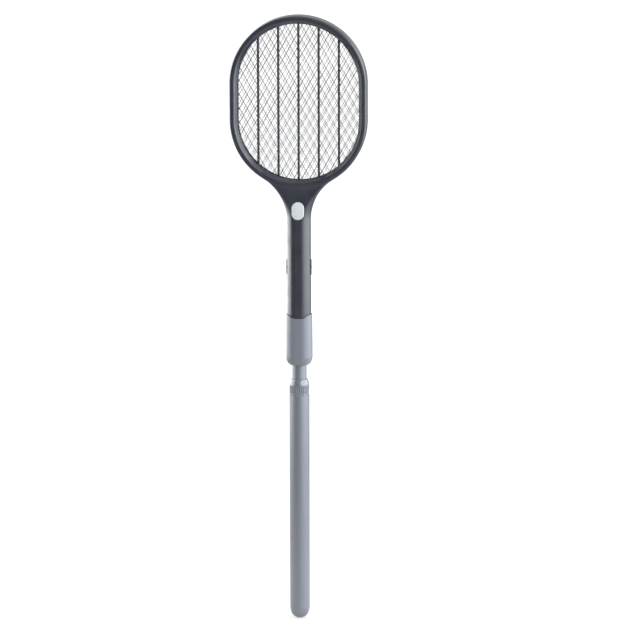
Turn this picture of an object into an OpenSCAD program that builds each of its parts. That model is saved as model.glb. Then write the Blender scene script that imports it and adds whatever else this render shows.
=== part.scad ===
// Racket-type electric fly swatter, plugged into the socket of a two-stage telescopic pole.
// Upright, +Z towards the head, front face towards -Y.
// The origin is on the pole axis, at the lower end of the outer tube's straight wall.

/* [Pole] */
// Outside diameter of the outer tube
outer_tube_d = 28; // [26:0.2:32]
// Wall of the outer tube
outer_tube_wall = 2.0; // [1.9:0.1:2.1]
// Length of the outer tube
outer_tube_len = 302; // [290:1:420]
// Height of the rounded end cap below the tube
end_cap_h = 19.3; // [10:0.1:30]
// Length of the end cap's spigot inside the tube
end_cap_plug_len = 9; // [5:0.5:11]
// Roundness of the end cap, 2 is an ellipse and larger is squarer
end_cap_power = 2.5; // [2:0.1:4]
// Outside diameter of the inner tube
inner_tube_d = 20.1; // [16:0.1:20.4]
// Wall of the inner tube
inner_tube_wall = 1.2; // [0.8:0.1:2]
// Height of the inner tube's lower end when the pole is pushed in
inner_tube_z0 = 12; // [12:0.5:24]
// Length of the guide bush at the inner tube's lower end
guide_bush_len = 20; // [10:1:30]
// Length of bare inner tube between the lock nut and the socket
neck_tube_show = 20.0; // [6:0.2:60]

/* [Lock nut] */
// Height of the twist-lock nut
lock_nut_h = 22.6; // [20:0.1:40]
// Diameter of the nut at its grip
lock_nut_d = 27.4; // [27.4:0.1:34]
// Diameter of the nut's top edge
lock_nut_top_d = 22.2; // [22.2:0.1:23]
// Height of the fluted grip
lock_nut_grip_h = 11.5; // [8:0.5:12]
// Number of flutes round the grip
lock_nut_flutes = 30; // [16:1:40]
// Depth of one flute
lock_nut_flute_depth = 0.45; // [0.2:0.05:0.45]
// Length of the split sleeve inside the outer tube
sleeve_plug_len = 22; // [12:1:24]
// Width of the four slots in the split sleeve
sleeve_slot_w = 1.2; // [0.8:0.1:2]

/* [Socket] */
// Width of the socket at its rim
socket_w = 36.0; // [35:0.1:37]
// Extra width of the socket at its lower end
socket_flare = 1.0; // [0:0.1:2]
// Height of the socket from its lower edge to its rim
socket_h = 72.4; // [60:0.1:90]
// Height of the rounded shoulder at the socket's lower end
socket_shoulder_h = 13; // [10:0.5:15]
// Width of the socket's lower edge
socket_foot_d = 22; // [21.8:0.1:26]
// Thickness of the floor over the shoulder
socket_floor = 2.6; // [2:0.1:5]
// Depth of the dip in the rim, front and rear
rim_dip = 4.6; // [0:0.1:8]
// Width of the flat bottom of the dip
rim_dip_flat_w = 12.6; // [6:0.2:20]
// Width across the top of the dip
rim_dip_w = 29; // [20:0.5:32]

/* [Handle] */
// Width of the handle
handle_w = 32.8; // [32.6:0.1:33.4]
// Depth of the handle from front to rear
handle_depth = 28; // [27.6:0.1:28.6]
// Corner radius of the handle's section
handle_corner_r = 12.8; // [11.8:0.1:13.2]
// Length of the straight handle
handle_len = 188.8; // [165:0.1:230]
// Wall of the two shells
shell_wall = 1.8; // [1.4:0.1:2]
// Radius of the curve between handle and head
neck_fillet_r = 69.5; // [60:0.5:80]

/* [Head] */
// Outer radius of the head's round ends
head_r = 94.8; // [92:0.2:105]
// Straight length between the two round ends
head_straight = 50; // [0:0.2:80]
// Thickness of the head ring
ring_depth = 22; // [21.4:0.2:23]
// Width of the ring's flat face with its rounded edge
ring_face_w = 6.8; // [6.2:0.1:7.4]
// Radius of the ring's rounded outer edge
ring_edge_r = 2.4; // [1:0.1:2.6]
// Width of the slanted lip inside the flat face
ring_lip_w = 4.4; // [3.6:0.1:4.6]
// Width of the wall outside the groove that holds the grids
ring_wall = 5.8; // [5.6:0.1:6]

/* [Grids] */
// Thickness of a grid's wires
wire_d = 0.6; // [0.5:0.05:0.7]
// Width of one mesh diamond
mesh_w = 10.9; // [8:0.1:16]
// Height of one mesh diamond
mesh_h = 19.2; // [14:0.1:28]
// Width of the solid edge of a grid
grid_edge_w = 2.6; // [1.6:0.1:3]
// Sideways shift of the front grid against the centre grid
front_grid_shift = 3.7; // [0:0.1:16]
// Sideways shift of the rear grid against the centre grid
rear_grid_shift = 7.2; // [0:0.1:16]
// Number of upright ribs in each rib frame
rib_count = 5; // [3:2:7]
// Distance between the ribs
rib_pitch = 27.9; // [20:0.1:28.6]
// Width of one rib
rib_w = 2.6; // [1.6:0.1:3.4]
// Thickness of a rib frame
rib_frame_t = 3.2; // [3:0.1:3.4]
// Width of the rim of a rib frame
rib_rim_w = 3.6; // [2.4:0.1:4.2]

/* [Trigger button] */
// Width of the round-ended button
button_w = 17.2; // [14:0.1:20]
// Height of the round-ended button
button_h = 24.6; // [20:0.1:28]
// Height of the button's centre above the straight handle's upper end
button_rise = 14.5; // [11:0.1:17]
// How far the button stands proud of the neck
button_proud = 1.0; // [0.6:0.1:1.6]
// How far the button travels
button_travel = 1.2; // [0.6:0.1:1.4]
// Gap round the button
button_gap = 0.35; // [0.3:0.05:0.5]
// Width of the flange that keeps the button in
button_flange_w = 1.5; // [1:0.1:1.8]

/* [Side sliders] */
// Length of a slider's thumb pad
slider_len = 22.5; // [16:0.5:24]
// Width of a slider's thumb pad
slider_w = 8; // [5:0.5:9]
// How far a pad stands proud of the handle
slider_proud = 1.1; // [0.8:0.1:2.4]
// How far a slider travels
slider_travel = 4; // [2:0.5:4]
// Distance of the pads' centre below the board's screw
slider_drop = 22.5; // [22:0.1:24.5]
// Depth of the shallow pocket that a pad runs in
slider_pocket = 0.7; // [0.4:0.1:0.9]

/* [Batteries] */
// Diameter of one cell
cell_d = 14.2; // [13.8:0.1:14.4]
// Length of one cell with its terminal
cell_len = 50.5; // [49:0.1:50.5]
// Distance of the cells' lower end above the socket rim
cell_rise = 4.8; // [4.4:0.1:5]
// Width of the battery cover
cover_w = 22; // [18:0.5:23]

/* [Screws] */
// Shank diameter of the handle screws
handle_screw_d = 2.6; // [2:0.1:3]
// Shank diameter of the ring screws
ring_screw_d = 2.0; // [1.6:0.1:2]
// Wall of the screw bosses
boss_wall = 1.7; // [1.4:0.1:2]

/* [Clearances] */
// Gap between sliding or turning pieces
slide_gap = 0.3; // [0.25:0.05:0.4]
// Gap between a pressed-in piece and its seat
seat_gap = 0.1; // [0.05:0.05:0.2]
// Gap between the handle and the inside of the socket
socket_gap = 0.25; // [0.2:0.05:0.4]

/* [Hidden] */
$fn = 64;

// pole
outer_r = outer_tube_d / 2;
outer_bore_r = outer_r - outer_tube_wall;
inner_r = inner_tube_d / 2;
bush_r = outer_bore_r - slide_gap;
bush_inset = 0.5;
sleeve_bore_r = inner_r + slide_gap;
sleeve_plug_r = outer_bore_r - seat_gap;
sleeve_seat_w = 0.5;
sleeve_seat_r = outer_bore_r + sleeve_seat_w;
sleeve_seat_h = 1;
sleeve_taper = 0.5;
sleeve_taper_h = 5;
sleeve_solid_h = 8;

// lock nut
nut_gap = 0.4;
nut_z = outer_tube_len + nut_gap;
nut_top_z = nut_z + lock_nut_h;
nut_r = lock_nut_d / 2;
nut_roof = 6;
nut_land = 1;
nut_edge = 0.3;
nut_overlap = 0.2;
nut_bore_r = sleeve_plug_r + slide_gap;
sleeve_top_gap = 1;
sleeve_top_z = nut_top_z - nut_roof - sleeve_top_gap;

// socket
socket_z = nut_top_z + neck_tube_show;
socket_floor_z = socket_z + socket_shoulder_h + socket_floor;
rim_z = socket_z + socket_h;
socket_depth = handle_depth + socket_w - handle_w;
socket_corner_r = handle_corner_r + (socket_w - handle_w) / 2;
tube_top_gap = 1;
tube_top_z = socket_floor_z - tube_top_gap;
socket_screw_rise = 6.4;
socket_screw_z = socket_z + socket_screw_rise;
socket_screw_r = 1.3;
socket_screw_seat = 2.6;
socket_screw_head_r = 2.5;
socket_screw_head_h = 1.6;
socket_screw_tip = 2;

// handle and neck
handle_z = socket_floor_z + slide_gap;
neck_z = handle_z + handle_len;
half_w = handle_w / 2;
half_depth = handle_depth / 2;
half_ring = ring_depth / 2;
neck_reach = sqrt(pow(head_r + neck_fillet_r, 2) - pow(half_w + neck_fillet_r, 2));
head_z = neck_z + neck_reach;
head_top_z = head_z + head_straight;
tangent_angle = asin((half_w + neck_fillet_r) / (head_r + neck_fillet_r));
neck_end_z = neck_z + 0.9 * neck_reach * neck_fillet_r / (head_r + neck_fillet_r);
neck_steps = 12;
corner_steps = 7;
neck_edge_r = 4;
neck_sink = 0.2;
neck_overlap_angle = 1.5;
neck_overlap = 3;
foot_inset = 0.4;

// ring
groove_r = head_r - ring_wall;
face_r = head_r - ring_face_w;
opening_r = face_r - ring_lip_w;
stack_gap = 0.1;
lip_gap = 0.3;
lip_edge = 0.6;
frame_y = wire_d / 2 + stack_gap + rib_frame_t / 2;
outer_grid_y = wire_d / 2 + 2 * stack_gap + rib_frame_t + wire_d / 2;
groove_depth = outer_grid_y + wire_d / 2 + lip_gap;
stack_r = groove_r - lip_gap;
tab_w = 3;
tab_len = 7;
tab_pitch = 5.4;
channel_side = 1;
channel_w = 2 * tab_pitch + tab_w + 2 * channel_side;
channel_depth = 3;

// inside the handle
cell_r = cell_d / 2;
cell_gap = 0.3;
cell_x = cell_r + cell_gap / 2;
cell_y = 1;
cell_z = rim_z + cell_rise;
cell_end_z = cell_z + cell_len;
contact_t = 0.5;
partition_t = 1.4;
lower_partition_z = cell_z - slide_gap - contact_t - slide_gap - partition_t;
upper_partition_z = cell_end_z + slide_gap + contact_t + slide_gap;
board_y = 3;
board_t = 1.6;
board_w = 23;
board_end_gap = 1;
board_z = upper_partition_z + partition_t + board_end_gap;
board_reach = 33;
board_top_z = neck_z + board_reach;

board_screw_rise = 30;
board_screw_z = board_z + board_screw_rise;

// button
button_z = neck_z + button_rise;
button_seat_y = -9.6;
button_guide_w = 2;
button_flange_t = 1.2;
button_flange_y = button_seat_y + slide_gap;
button_stem_r = 1.6;
button_dome_r = 90;
switch_size = 6;
switch_h = 3.4;
switch_tip_h = 1;
switch_tip_y = board_y - switch_h - switch_tip_h;
button_stem_y = switch_tip_y - button_travel - slide_gap;
spring_r = 5.2;
spring_wire_r = 0.35;
spring_turns = 5;

// side sliders
slider_z = board_screw_z - slider_drop;
stem_len = 5;
stem_w = 3;
stem_x = 12.2;
pad_face_x = half_w + slider_proud;
pad_back_x = half_w - slider_pocket + slide_gap;
pocket_gap = 0.4;

// battery cover
cover_foot = 0.2;
cover_z = cell_z - cover_foot;
cover_head = 0.6;
cover_top_z = cell_end_z - cover_head;
cover_side_y = 5;

// screws
boss_r = handle_screw_d / 2 + boss_wall;
ring_screw_r = (groove_r + face_r + ring_wall - ring_edge_r) / 2;
screw_head_h = 1.8;
screw_head_sink = 2.4;
screw_slot_w = 1.4;
handle_screw_tip = 5;
handle_screw_head_r = boss_r - 0.8;
ring_screw_tip = 6;
ring_screw_head_r = ring_screw_d / 2 + 0.7;
low_screw_rise = 10;
low_screw_z = handle_z + low_screw_rise;
mid_screw_drop = 12;
mid_screw_z = rim_z - mid_screw_drop;
neck_screw_x = 16.5;
neck_screw_rise = 40;
neck_screw_z = neck_z + neck_screw_rise;
ring_screw_angle = 30;
ring_screw_low_angle = 32;
handle_screw_places = [
    [0, low_screw_z], [0, mid_screw_z], [0, board_screw_z],
    [-neck_screw_x, neck_screw_z], [neck_screw_x, neck_screw_z]
];
ring_screw_places = [
    for (a = [ring_screw_angle, 90, 180 - ring_screw_angle])
        [ring_screw_r * cos(a), head_top_z + ring_screw_r * sin(a)],
    for (s = [-1, 1]) [s * ring_screw_r, (head_z + head_top_z) / 2],
    for (s = [-1, 1])
        [s * ring_screw_r * cos(ring_screw_low_angle), head_z - ring_screw_r * sin(ring_screw_low_angle)]
];

charcoal = [0.21, 0.22, 0.25];
cool_grey = [0.56, 0.58, 0.61];
light_grey = [0.83, 0.84, 0.85];
steel = [0.75, 0.76, 0.78];

// ---- shared shapes ----

function flip(list) = [for (i = [len(list) - 1:-1:0]) list[i]];

function arc(cx, cy, r, a0, a1, steps) =
    [for (i = [0:steps]) [cx + r * cos(a0 + (a1 - a0) * i / steps), cy + r * sin(a0 + (a1 - a0) * i / steps)]];

// Front half of a rounded section, from +X round the front to -X
function half_section(w, d, r, y = 0) = concat(
    [[w, y]],
    arc(w - r, r - d, r, 0, -90, corner_steps),
    arc(r - w, r - d, r, -90, -180, corner_steps),
    [[-w, y]]
);

// The same half as a wall of thickness t
function wall_section(w, d, r, t) = concat(
    half_section(w, d, r),
    flip(half_section(w - t, d - t, max(r - t, 1)))
);

function full_section(w, d, r) = concat(
    arc(w - r, r - d, r, 0, -90, corner_steps),
    arc(r - w, r - d, r, -90, -180, corner_steps),
    arc(r - w, d - r, r, 180, 90, corner_steps),
    arc(w - r, d - r, r, 90, 0, corner_steps)
);

// Solid through a list of sections with equal point counts, each given with its height.
// The sections are front halves, which rear turns into rear halves. A wall section's ends
// are closed by strips between its outer and inner points.
module loft(sections, heights, rear = false, wall = false) {
    n = len(sections[0]);
    rows = len(sections);
    points = [
        for (k = [0:rows - 1]) for (p = rear ? flip(sections[k]) : sections[k])
            [p[0], rear ? -p[1] : p[1], heights[k]]
    ];
    sides = [
        for (k = [0:rows - 2]) for (i = [0:n - 1])
            let (a = k * n + i, b = k * n + (i + 1) % n)
                [a, b, b + n, a + n]
    ];
    strips = wall ? [for (i = [0:n / 2 - 2]) [i, n - 1 - i, n - 2 - i, i + 1]] : [[for (i = [n - 1:-1:0]) i]];
    lid = [for (s = strips) [for (i = flip(s)) (rows - 1) * n + i]];
    polyhedron(points, concat(sides, strips, lid), convexity = 6);
}

function smooth(u) = u <= 0 ? 0 : u >= 1 ? 1 : u * u * (3 - 2 * u);
function neck_share(z) = smooth((z - neck_z) / (head_z - head_r - neck_z));
function neck_half_w(z) =
    z <= neck_z ? half_w : half_w + neck_fillet_r - sqrt(pow(neck_fillet_r, 2) - pow(z - neck_z, 2));
function neck_half_depth(z) = half_depth + (half_ring - neck_sink - half_depth) * neck_share(z);
function neck_corner_r(z) = handle_corner_r + (neck_edge_r - handle_corner_r) * neck_share(z);

// Outline of the head at radius r, in the XZ plane
module stadium(r) {
    for (z = [head_z, head_top_z]) translate([0, z]) circle(r = r, $fn = 128);
    if (head_straight > 0) translate([-r, head_z]) square([2 * r, head_straight]);
}

// A flat piece drawn in the XZ plane, t thick, with its middle at y
module upright_plate(y, t) {
    translate([0, y + t / 2, 0]) rotate([90, 0, 0]) linear_extrude(t) children();
}

module along_y(x, z, y0, y1, r, r_end = -1) {
    translate([x, y1, z]) rotate([90, 0, 0])
        cylinder(h = y1 - y0, r1 = r_end < 0 ? r : r_end, r2 = r);
}

// Long oval with round ends, w wide and h high
module oval(w, h) {
    for (side = [-1, 1]) translate([0, side * (h - w) / 2]) circle(d = w);
    square([w, h - w], center = true);
}

// ---- pole ----

module outer_tube() {
    color(cool_grey) difference() {
        cylinder(h = outer_tube_len, r = outer_r);
        translate([0, 0, -1]) cylinder(h = outer_tube_len + 2, r = outer_bore_r);
    }
}

function dome_r(u) = pow(1 - pow(u, end_cap_power), 1 / end_cap_power);

module end_cap() {
    dome_steps = 14;
    color(cool_grey) union() {
        rotate_extrude() polygon(concat(
            [[0, 0], [outer_r, 0]],
            [for (i = [1:dome_steps - 1]) let (a = 90 * i / dome_steps)
                [outer_r * dome_r(sin(a)), -end_cap_h * sin(a)]],
            [[0, -end_cap_h]]
        ));
        cylinder(h = end_cap_plug_len, r = outer_bore_r - seat_gap);
    }
}

module split_sleeve() {
    finger_z = outer_tube_len + sleeve_solid_h;
    color(light_grey) difference() {
        rotate_extrude() polygon([
            [sleeve_bore_r, outer_tube_len - sleeve_plug_len],
            [sleeve_plug_r, outer_tube_len - sleeve_plug_len],
            [sleeve_plug_r, outer_tube_len],
            [sleeve_seat_r, outer_tube_len],
            [sleeve_seat_r, outer_tube_len + sleeve_seat_h],
            [sleeve_plug_r, outer_tube_len + sleeve_seat_h],
            [sleeve_plug_r, sleeve_top_z - sleeve_taper_h],
            [sleeve_plug_r - sleeve_taper, sleeve_top_z],
            [sleeve_bore_r, sleeve_top_z]
        ]);
        for (a = [0, 90])
            rotate(a) translate([-outer_r, -sleeve_slot_w / 2, finger_z])
                cube([outer_tube_d, sleeve_slot_w, lock_nut_h]);
    }
}

module lock_nut() {
    flute_r = nut_r - nut_overlap / 4;
    grip_top_z = nut_z + nut_land + lock_nut_grip_h;
    root_r = nut_r - lock_nut_flute_depth - nut_overlap / 2;
    top_r = lock_nut_top_d / 2;
    dome_h = nut_top_z - grip_top_z;
    flute_points = [
        for (i = [0:4 * lock_nut_flutes - 1])
            let (a = 90 * i / lock_nut_flutes, r = flute_r - (i % 4 < 2 ? 0 : lock_nut_flute_depth))
                [r * cos(a), r * sin(a)]
    ];
    color(cool_grey) difference() {
        union() {
            rotate_extrude() polygon(concat(
                [[0, nut_z], [nut_r - nut_edge, nut_z], [nut_r, nut_z + nut_edge], [nut_r, nut_z + nut_land]],
                [[root_r, nut_z + nut_land], [root_r, grip_top_z]],
                [for (i = [0:8]) let (t = i / 8)
                    [nut_r - (nut_r - top_r) * t * t, grip_top_z + dome_h * t]],
                [[0, nut_top_z]]
            ));
            translate([0, 0, nut_z + nut_land - nut_overlap])
                linear_extrude(lock_nut_grip_h + 2 * nut_overlap) polygon(flute_points);
        }
        translate([0, 0, nut_z - 1]) cylinder(h = nut_top_z - nut_roof - nut_z + 1, r = nut_bore_r);
        translate([0, 0, nut_z - 1])
            cylinder(h = sleeve_seat_h + slide_gap + 1 + outer_tube_len - nut_z, r = sleeve_seat_r + slide_gap);
        cylinder(h = nut_top_z + 1, r = inner_r + slide_gap);
    }
}

module inner_tube() {
    color(cool_grey) difference() {
        translate([0, 0, inner_tube_z0]) cylinder(h = tube_top_z - inner_tube_z0, r = inner_r);
        cylinder(h = tube_top_z + 1, r = inner_r - inner_tube_wall);
        along_y(0, socket_screw_z, 0, outer_r, socket_screw_r + seat_gap);
    }
}

module guide_bush() {
    color(light_grey) difference() {
        translate([0, 0, inner_tube_z0 + bush_inset]) cylinder(h = guide_bush_len, r = bush_r);
        cylinder(h = outer_tube_len, r = inner_r + seat_gap);
    }
}

// ---- socket ----

module socket_body() {
    foot_r = socket_foot_d / 2;
    steps = 7;
    end_w = (socket_w + socket_flare) / 2;
    end_d = (socket_depth + socket_flare) / 2;
    end_r = socket_corner_r + socket_flare / 2;
    bulge = [for (i = [0:steps]) sin(90 * i / steps)];
    rise = [for (i = [0:steps]) 1 - cos(90 * i / steps)];
    sections = concat(
        [for (b = bulge) full_section(
            foot_r + (end_w - foot_r) * b,
            foot_r + (end_d - foot_r) * b,
            foot_r - 2 * seat_gap + (end_r - foot_r) * b)],
        [full_section(socket_w / 2, socket_depth / 2, socket_corner_r)]
    );
    loft(sections, concat([for (r = rise) socket_z + socket_shoulder_h * r], [rim_z]));
}

module socket() {
    dip_z = rim_z - rim_dip;
    bore = full_section(half_w + socket_gap, half_depth + socket_gap, handle_corner_r + socket_gap);
    color(cool_grey) difference() {
        socket_body();
        loft([bore, bore], [socket_floor_z, rim_z + 1]);
        translate([0, 0, socket_z - 1])
            cylinder(h = tube_top_z + seat_gap + 1 - socket_z, r = inner_r + seat_gap);
        translate([0, socket_w, 0]) rotate([90, 0, 0]) linear_extrude(2 * socket_w) polygon([
            [-rim_dip_w / 2, rim_z], [-rim_dip_flat_w / 2, dip_z], [rim_dip_flat_w / 2, dip_z],
            [rim_dip_w / 2, rim_z], [rim_dip_w / 2, rim_z + 1], [-rim_dip_w / 2, rim_z + 1]
        ]);
        along_y(0, socket_screw_z, 0, socket_w, socket_screw_r + seat_gap);
        along_y(0, socket_screw_z, inner_r + socket_screw_seat, socket_w, socket_screw_head_r + 2 * seat_gap);
    }
}

module socket_screw() {
    head_y = inner_r + socket_screw_seat + seat_gap;
    color(steel) union() {
        along_y(0, socket_screw_z, inner_r - inner_tube_wall - socket_screw_tip, head_y + 0.5, socket_screw_r);
        along_y(0, socket_screw_z, head_y, head_y + socket_screw_head_h, socket_screw_head_r);
    }
}

// ---- racket shells ----

function ring_section(y_scale) = [
    for (p = concat(
        [[groove_r, 0], [head_r, 0]],
        arc(head_r - ring_edge_r, half_ring - ring_edge_r, ring_edge_r, 0, 90, 4),
        [[face_r, half_ring], [opening_r, groove_depth + lip_edge]],
        [[opening_r, groove_depth], [groove_r, groove_depth]]
    )) [p[0], y_scale * p[1]]
];

// Front or rear half of the head ring
module half_ring_body(rear) {
    way = rear ? -1 : 1;
    translate([0, 0, head_top_z]) rotate([90, 0, 0])
        rotate_extrude(angle = 180, $fn = 128) polygon(ring_section(way));
    translate([0, 0, head_z]) rotate([0, 180, 0]) rotate([90, 0, 0])
        rotate_extrude(angle = 180, $fn = 128) polygon(ring_section(way));
    if (head_straight > 0)
        for (side = [0, 1]) mirror([side, 0, 0])
            translate([0, 0, head_z]) linear_extrude(head_straight) polygon(ring_section(-way));
}

// Front or rear half of the handle and neck, as a wall that ends inside the ring
module half_neck_wall(rear) {
    end_r = head_r - neck_overlap;
    end_angle = tangent_angle + neck_overlap_angle;
    rise = [for (i = [0:neck_steps]) neck_z + (neck_end_z - neck_z) * i / neck_steps];
    end_z = head_z - end_r * cos(end_angle);
    edge_d = neck_half_depth(head_z);
    sections = concat(
        [wall_section(half_w, half_depth, handle_corner_r, shell_wall)],
        [for (z = rise) wall_section(neck_half_w(z), neck_half_depth(z), neck_corner_r(z), shell_wall)],
        [wall_section(end_r * sin(end_angle), edge_d, neck_edge_r, shell_wall)]
    );
    difference() {
        loft(sections, concat([handle_z], rise, [end_z]), rear, true);
        translate([0, 0, head_z]) rotate([90, 0, 0])
            cylinder(h = 2 * handle_depth, r = groove_r + 1, center = true, $fn = 128);
    }
}

// Front or rear half of a plate across the inside of the handle
module half_partition(z, t, rear) {
    grip = shell_wall / 2;
    s = half_section(half_w - grip, half_depth - grip, handle_corner_r - grip);
    loft([s, s], [z, z + t], rear);
}

module half_shell_body(rear) {
    half_ring_body(rear);
    half_neck_wall(rear);
    half_partition(handle_z + foot_inset, shell_wall, rear);
    half_partition(lower_partition_z, partition_t, rear);
    half_partition(upper_partition_z, partition_t, rear);
    for (p = handle_screw_places) mirror([0, rear ? 1 : 0, 0])
        along_y(p[0], p[1], shell_wall / 2 - neck_half_depth(p[1]), 0, boss_r);
}

// Openings that both shells share: side sliders and the channel for the grids' leads
module side_openings() {
    pocket_h = slider_len + slider_travel + 2 * pocket_gap;
    slot_h = stem_len + slider_travel + 2 * pocket_gap;
    cut_w = 10;
    for (side = [-1, 1]) {
        translate([side * (half_w - slider_pocket + cut_w / 2), 0, slider_z + slider_travel / 2])
            cube([cut_w, slider_w + 2 * pocket_gap, pocket_h], center = true);
        translate([side * half_w, 0, slider_z + slider_travel / 2])
            cube([cut_w, stem_w + 2 * pocket_gap, slot_h], center = true);
    }
    translate([-channel_w / 2, -groove_depth, head_z - head_r - channel_depth])
        cube([channel_w, 2 * groove_depth, head_r - groove_r + 2 * channel_depth]);
}

// Solid front half of the neck near the button, 0.5 mm inside its surface
module neck_core() {
    steps = 8;
    reach = button_h / 2 + button_guide_w + 1;
    rise = [for (i = [0:steps]) button_z + reach * (2 * i / steps - 1)];
    inset = 0.5;
    loft([for (z = rise) half_section(
        neck_half_w(z) - inset, neck_half_depth(z) - inset, neck_corner_r(z) - inset)], rise);
}

module front_shell() {
    color(charcoal) difference() {
        union() {
            half_shell_body(false);
            intersection() {
                neck_core();
                upright_plate(button_seat_y - half_depth / 2, half_depth)
                    translate([0, button_z]) oval(button_w + 2 * button_guide_w, button_h + 2 * button_guide_w);
            }
        }
        side_openings();
        upright_plate(-half_depth, half_depth)
            translate([0, button_z]) oval(button_w + 2 * button_gap, button_h + 2 * button_gap);
        for (p = handle_screw_places) along_y(p[0], p[1], -handle_screw_tip - 1, 1, handle_screw_d / 2);
        for (p = ring_screw_places) along_y(p[0], p[1], -ring_screw_tip - 1, 1, ring_screw_d / 2);
    }
}

module rear_shell() {
    color(charcoal) difference() {
        half_shell_body(true);
        side_openings();
        translate([-cover_w / 2, cover_side_y, cover_z])
            cube([cover_w, half_depth, cover_top_z - cover_z]);
        for (p = handle_screw_places) {
            along_y(p[0], p[1], -1, half_depth + 1, handle_screw_d / 2 + seat_gap);
            along_y(
                p[0], p[1], neck_half_depth(p[1]) - screw_head_sink - shell_wall, half_depth + 1,
                handle_screw_head_r + 2 * seat_gap);
        }
        for (p = ring_screw_places) {
            along_y(p[0], p[1], -1, half_ring + 1, ring_screw_d / 2 + seat_gap);
            along_y(p[0], p[1], half_ring - screw_head_sink, half_ring + 1, ring_screw_head_r + 2 * seat_gap);
        }
    }
}

module battery_cover() {
    z0 = cover_z + slide_gap;
    z1 = cover_top_z - slide_gap;
    half_cover = cover_w / 2 - slide_gap;
    s = wall_section(half_w, half_depth, handle_corner_r, shell_wall);
    color(charcoal) intersection() {
        loft([s, s], [z0, z1], rear = true, wall = true);
        translate([-half_cover, cover_side_y + slide_gap, z0 - 1])
            cube([2 * half_cover, half_depth, z1 - z0 + 2]);
    }
}

// ---- grids and ribs ----

module rib_frame(y) {
    color(charcoal) upright_plate(y, rib_frame_t) {
        difference() {
            stadium(stack_r);
            stadium(stack_r - rib_rim_w);
        }
        intersection() {
            stadium(stack_r - rib_rim_w / 2);
            for (i = [0:rib_count - 1])
                translate([(i - (rib_count - 1) / 2) * rib_pitch - rib_w / 2, head_z - head_r])
                    square([rib_w, 2 * head_r + head_straight]);
        }
    }
}

// One flat mesh of crossing wires with a solid edge and a tab for its lead
module grid(y, shift, tab_x) {
    slant = atan2(mesh_h, mesh_w);
    step = mesh_w * sin(slant);
    reach = head_r + head_straight;
    rows = ceil(reach / step);
    color(steel) upright_plate(y, wire_d) {
        intersection() {
            union() {
                for (way = [-1, 1]) for (i = [-rows:rows])
                    translate([shift, (head_z + head_top_z) / 2]) rotate(way * slant)
                        translate([-reach, i * step - wire_d / 2]) square([2 * reach, wire_d]);
            }
            stadium(stack_r - grid_edge_w / 2);
        }
        difference() {
            stadium(stack_r);
            stadium(stack_r - grid_edge_w);
        }
        translate([tab_x - tab_w / 2, head_z - stack_r - tab_len]) square([tab_w, tab_len + grid_edge_w / 2]);
    }
}

module front_rib_frame() { rib_frame(-frame_y); }
module rear_rib_frame() { rib_frame(frame_y); }
module front_grid() { grid(-outer_grid_y, front_grid_shift, -tab_pitch); }
module centre_grid() { grid(0, 0, 0); }
module rear_grid() { grid(outer_grid_y, rear_grid_shift, tab_pitch); }

// Round bar from p to q
module rod(p, q, r) {
    d = q - p;
    translate(p) rotate([0, acos(d[2] / norm(d)), atan2(d[1], d[0])]) cylinder(h = norm(d), r = r);
}

module grid_leads() {
    lead_r = 0.8;
    joint_len = 4;
    bend_rise = 1.5;
    tab_end_z = head_z - stack_r - tab_len;
    lead_y = board_y - lead_r - seat_gap;
    color("firebrick") for (i = [-1:1]) {
        top = [i * tab_pitch, i * outer_grid_y, tab_end_z - seat_gap];
        bend = [i * tab_pitch, lead_y, board_top_z + bend_rise];
        foot = [i * tab_pitch, lead_y, board_top_z - joint_len];
        union() {
            rod(bend, top, lead_r);
            rod(foot, bend, lead_r);
            translate(bend) sphere(r = 1.4 * lead_r);
        }
    }
}

// ---- electronics ----

module on_board(x, z, w, d, h) {
    translate([x - w / 2, board_y - seat_gap - d, z - h / 2]) cube([w, d, h]);
}

module circuit_board() {
    color("darkgreen") difference() {
        translate([-board_w / 2, board_y, board_z]) cube([board_w, board_t, board_top_z - board_z]);
        along_y(0, board_screw_z, board_y - 1, board_y + board_t + 1, boss_r + slide_gap);
    }
}

module transformer() {
    rise = 16;
    winding_w = 15;
    winding_d = 9;
    core_w = 16;
    core_d = 11;
    core_h = 5;
    core_pitch = 9.2;
    z = board_screw_z + rise;
    color("gold") {
        on_board(0, z, winding_w, winding_d, core_pitch - core_h - 2 * seat_gap);
        for (side = [-1, 1]) on_board(0, z + side * core_pitch / 2, core_w, core_d, core_h);
    }
}

module capacitor() {
    drop = 11;
    w = 9;
    d = 6;
    h = 7;
    color("saddlebrown") on_board(-w / 2, board_screw_z - drop, w, d, h);
}

module diodes() {
    drop = 14;
    r = 1.3;
    h = 6;
    pitch = 3.4;
    first_x = 3;
    color("black") for (i = [0:2])
        translate([first_x + pitch * i, board_y - seat_gap - r, board_screw_z - drop]) cylinder(h = h, r = r);
}

module transistor() {
    w = 5;
    d = 4.4;
    h = 4.6;
    gap = 2;
    color("black") on_board(boss_r + gap + w / 2, board_screw_z, w, d, h);
}

module trigger_switch() {
    tip_r = 1.7;
    color("dimgray") {
        on_board(0, button_z, switch_size, switch_h, switch_size);
        along_y(0, button_z, switch_tip_y, board_y - switch_h - seat_gap, tip_r);
    }
}

module side_switch(side) {
    w = 4.4;
    d = 5;
    h = 10;
    color("dimgray") on_board(side * (stem_x - 2 * slide_gap - w / 2), slider_z + slider_travel / 2, w, d, h);
}

module power_switch() { side_switch(-1); }
module light_switch() { side_switch(1); }

module light_led() {
    lens_r = 2.4;
    lens_len = 6;
    led_gap = 0.4;
    led_z = button_z + spring_r + spring_wire_r + lens_r + led_gap;
    color("white") {
        along_y(0, led_z, board_y - lens_len, board_y - seat_gap, lens_r);
        translate([0, board_y - lens_len, led_z]) sphere(r = lens_r);
    }
}

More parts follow.
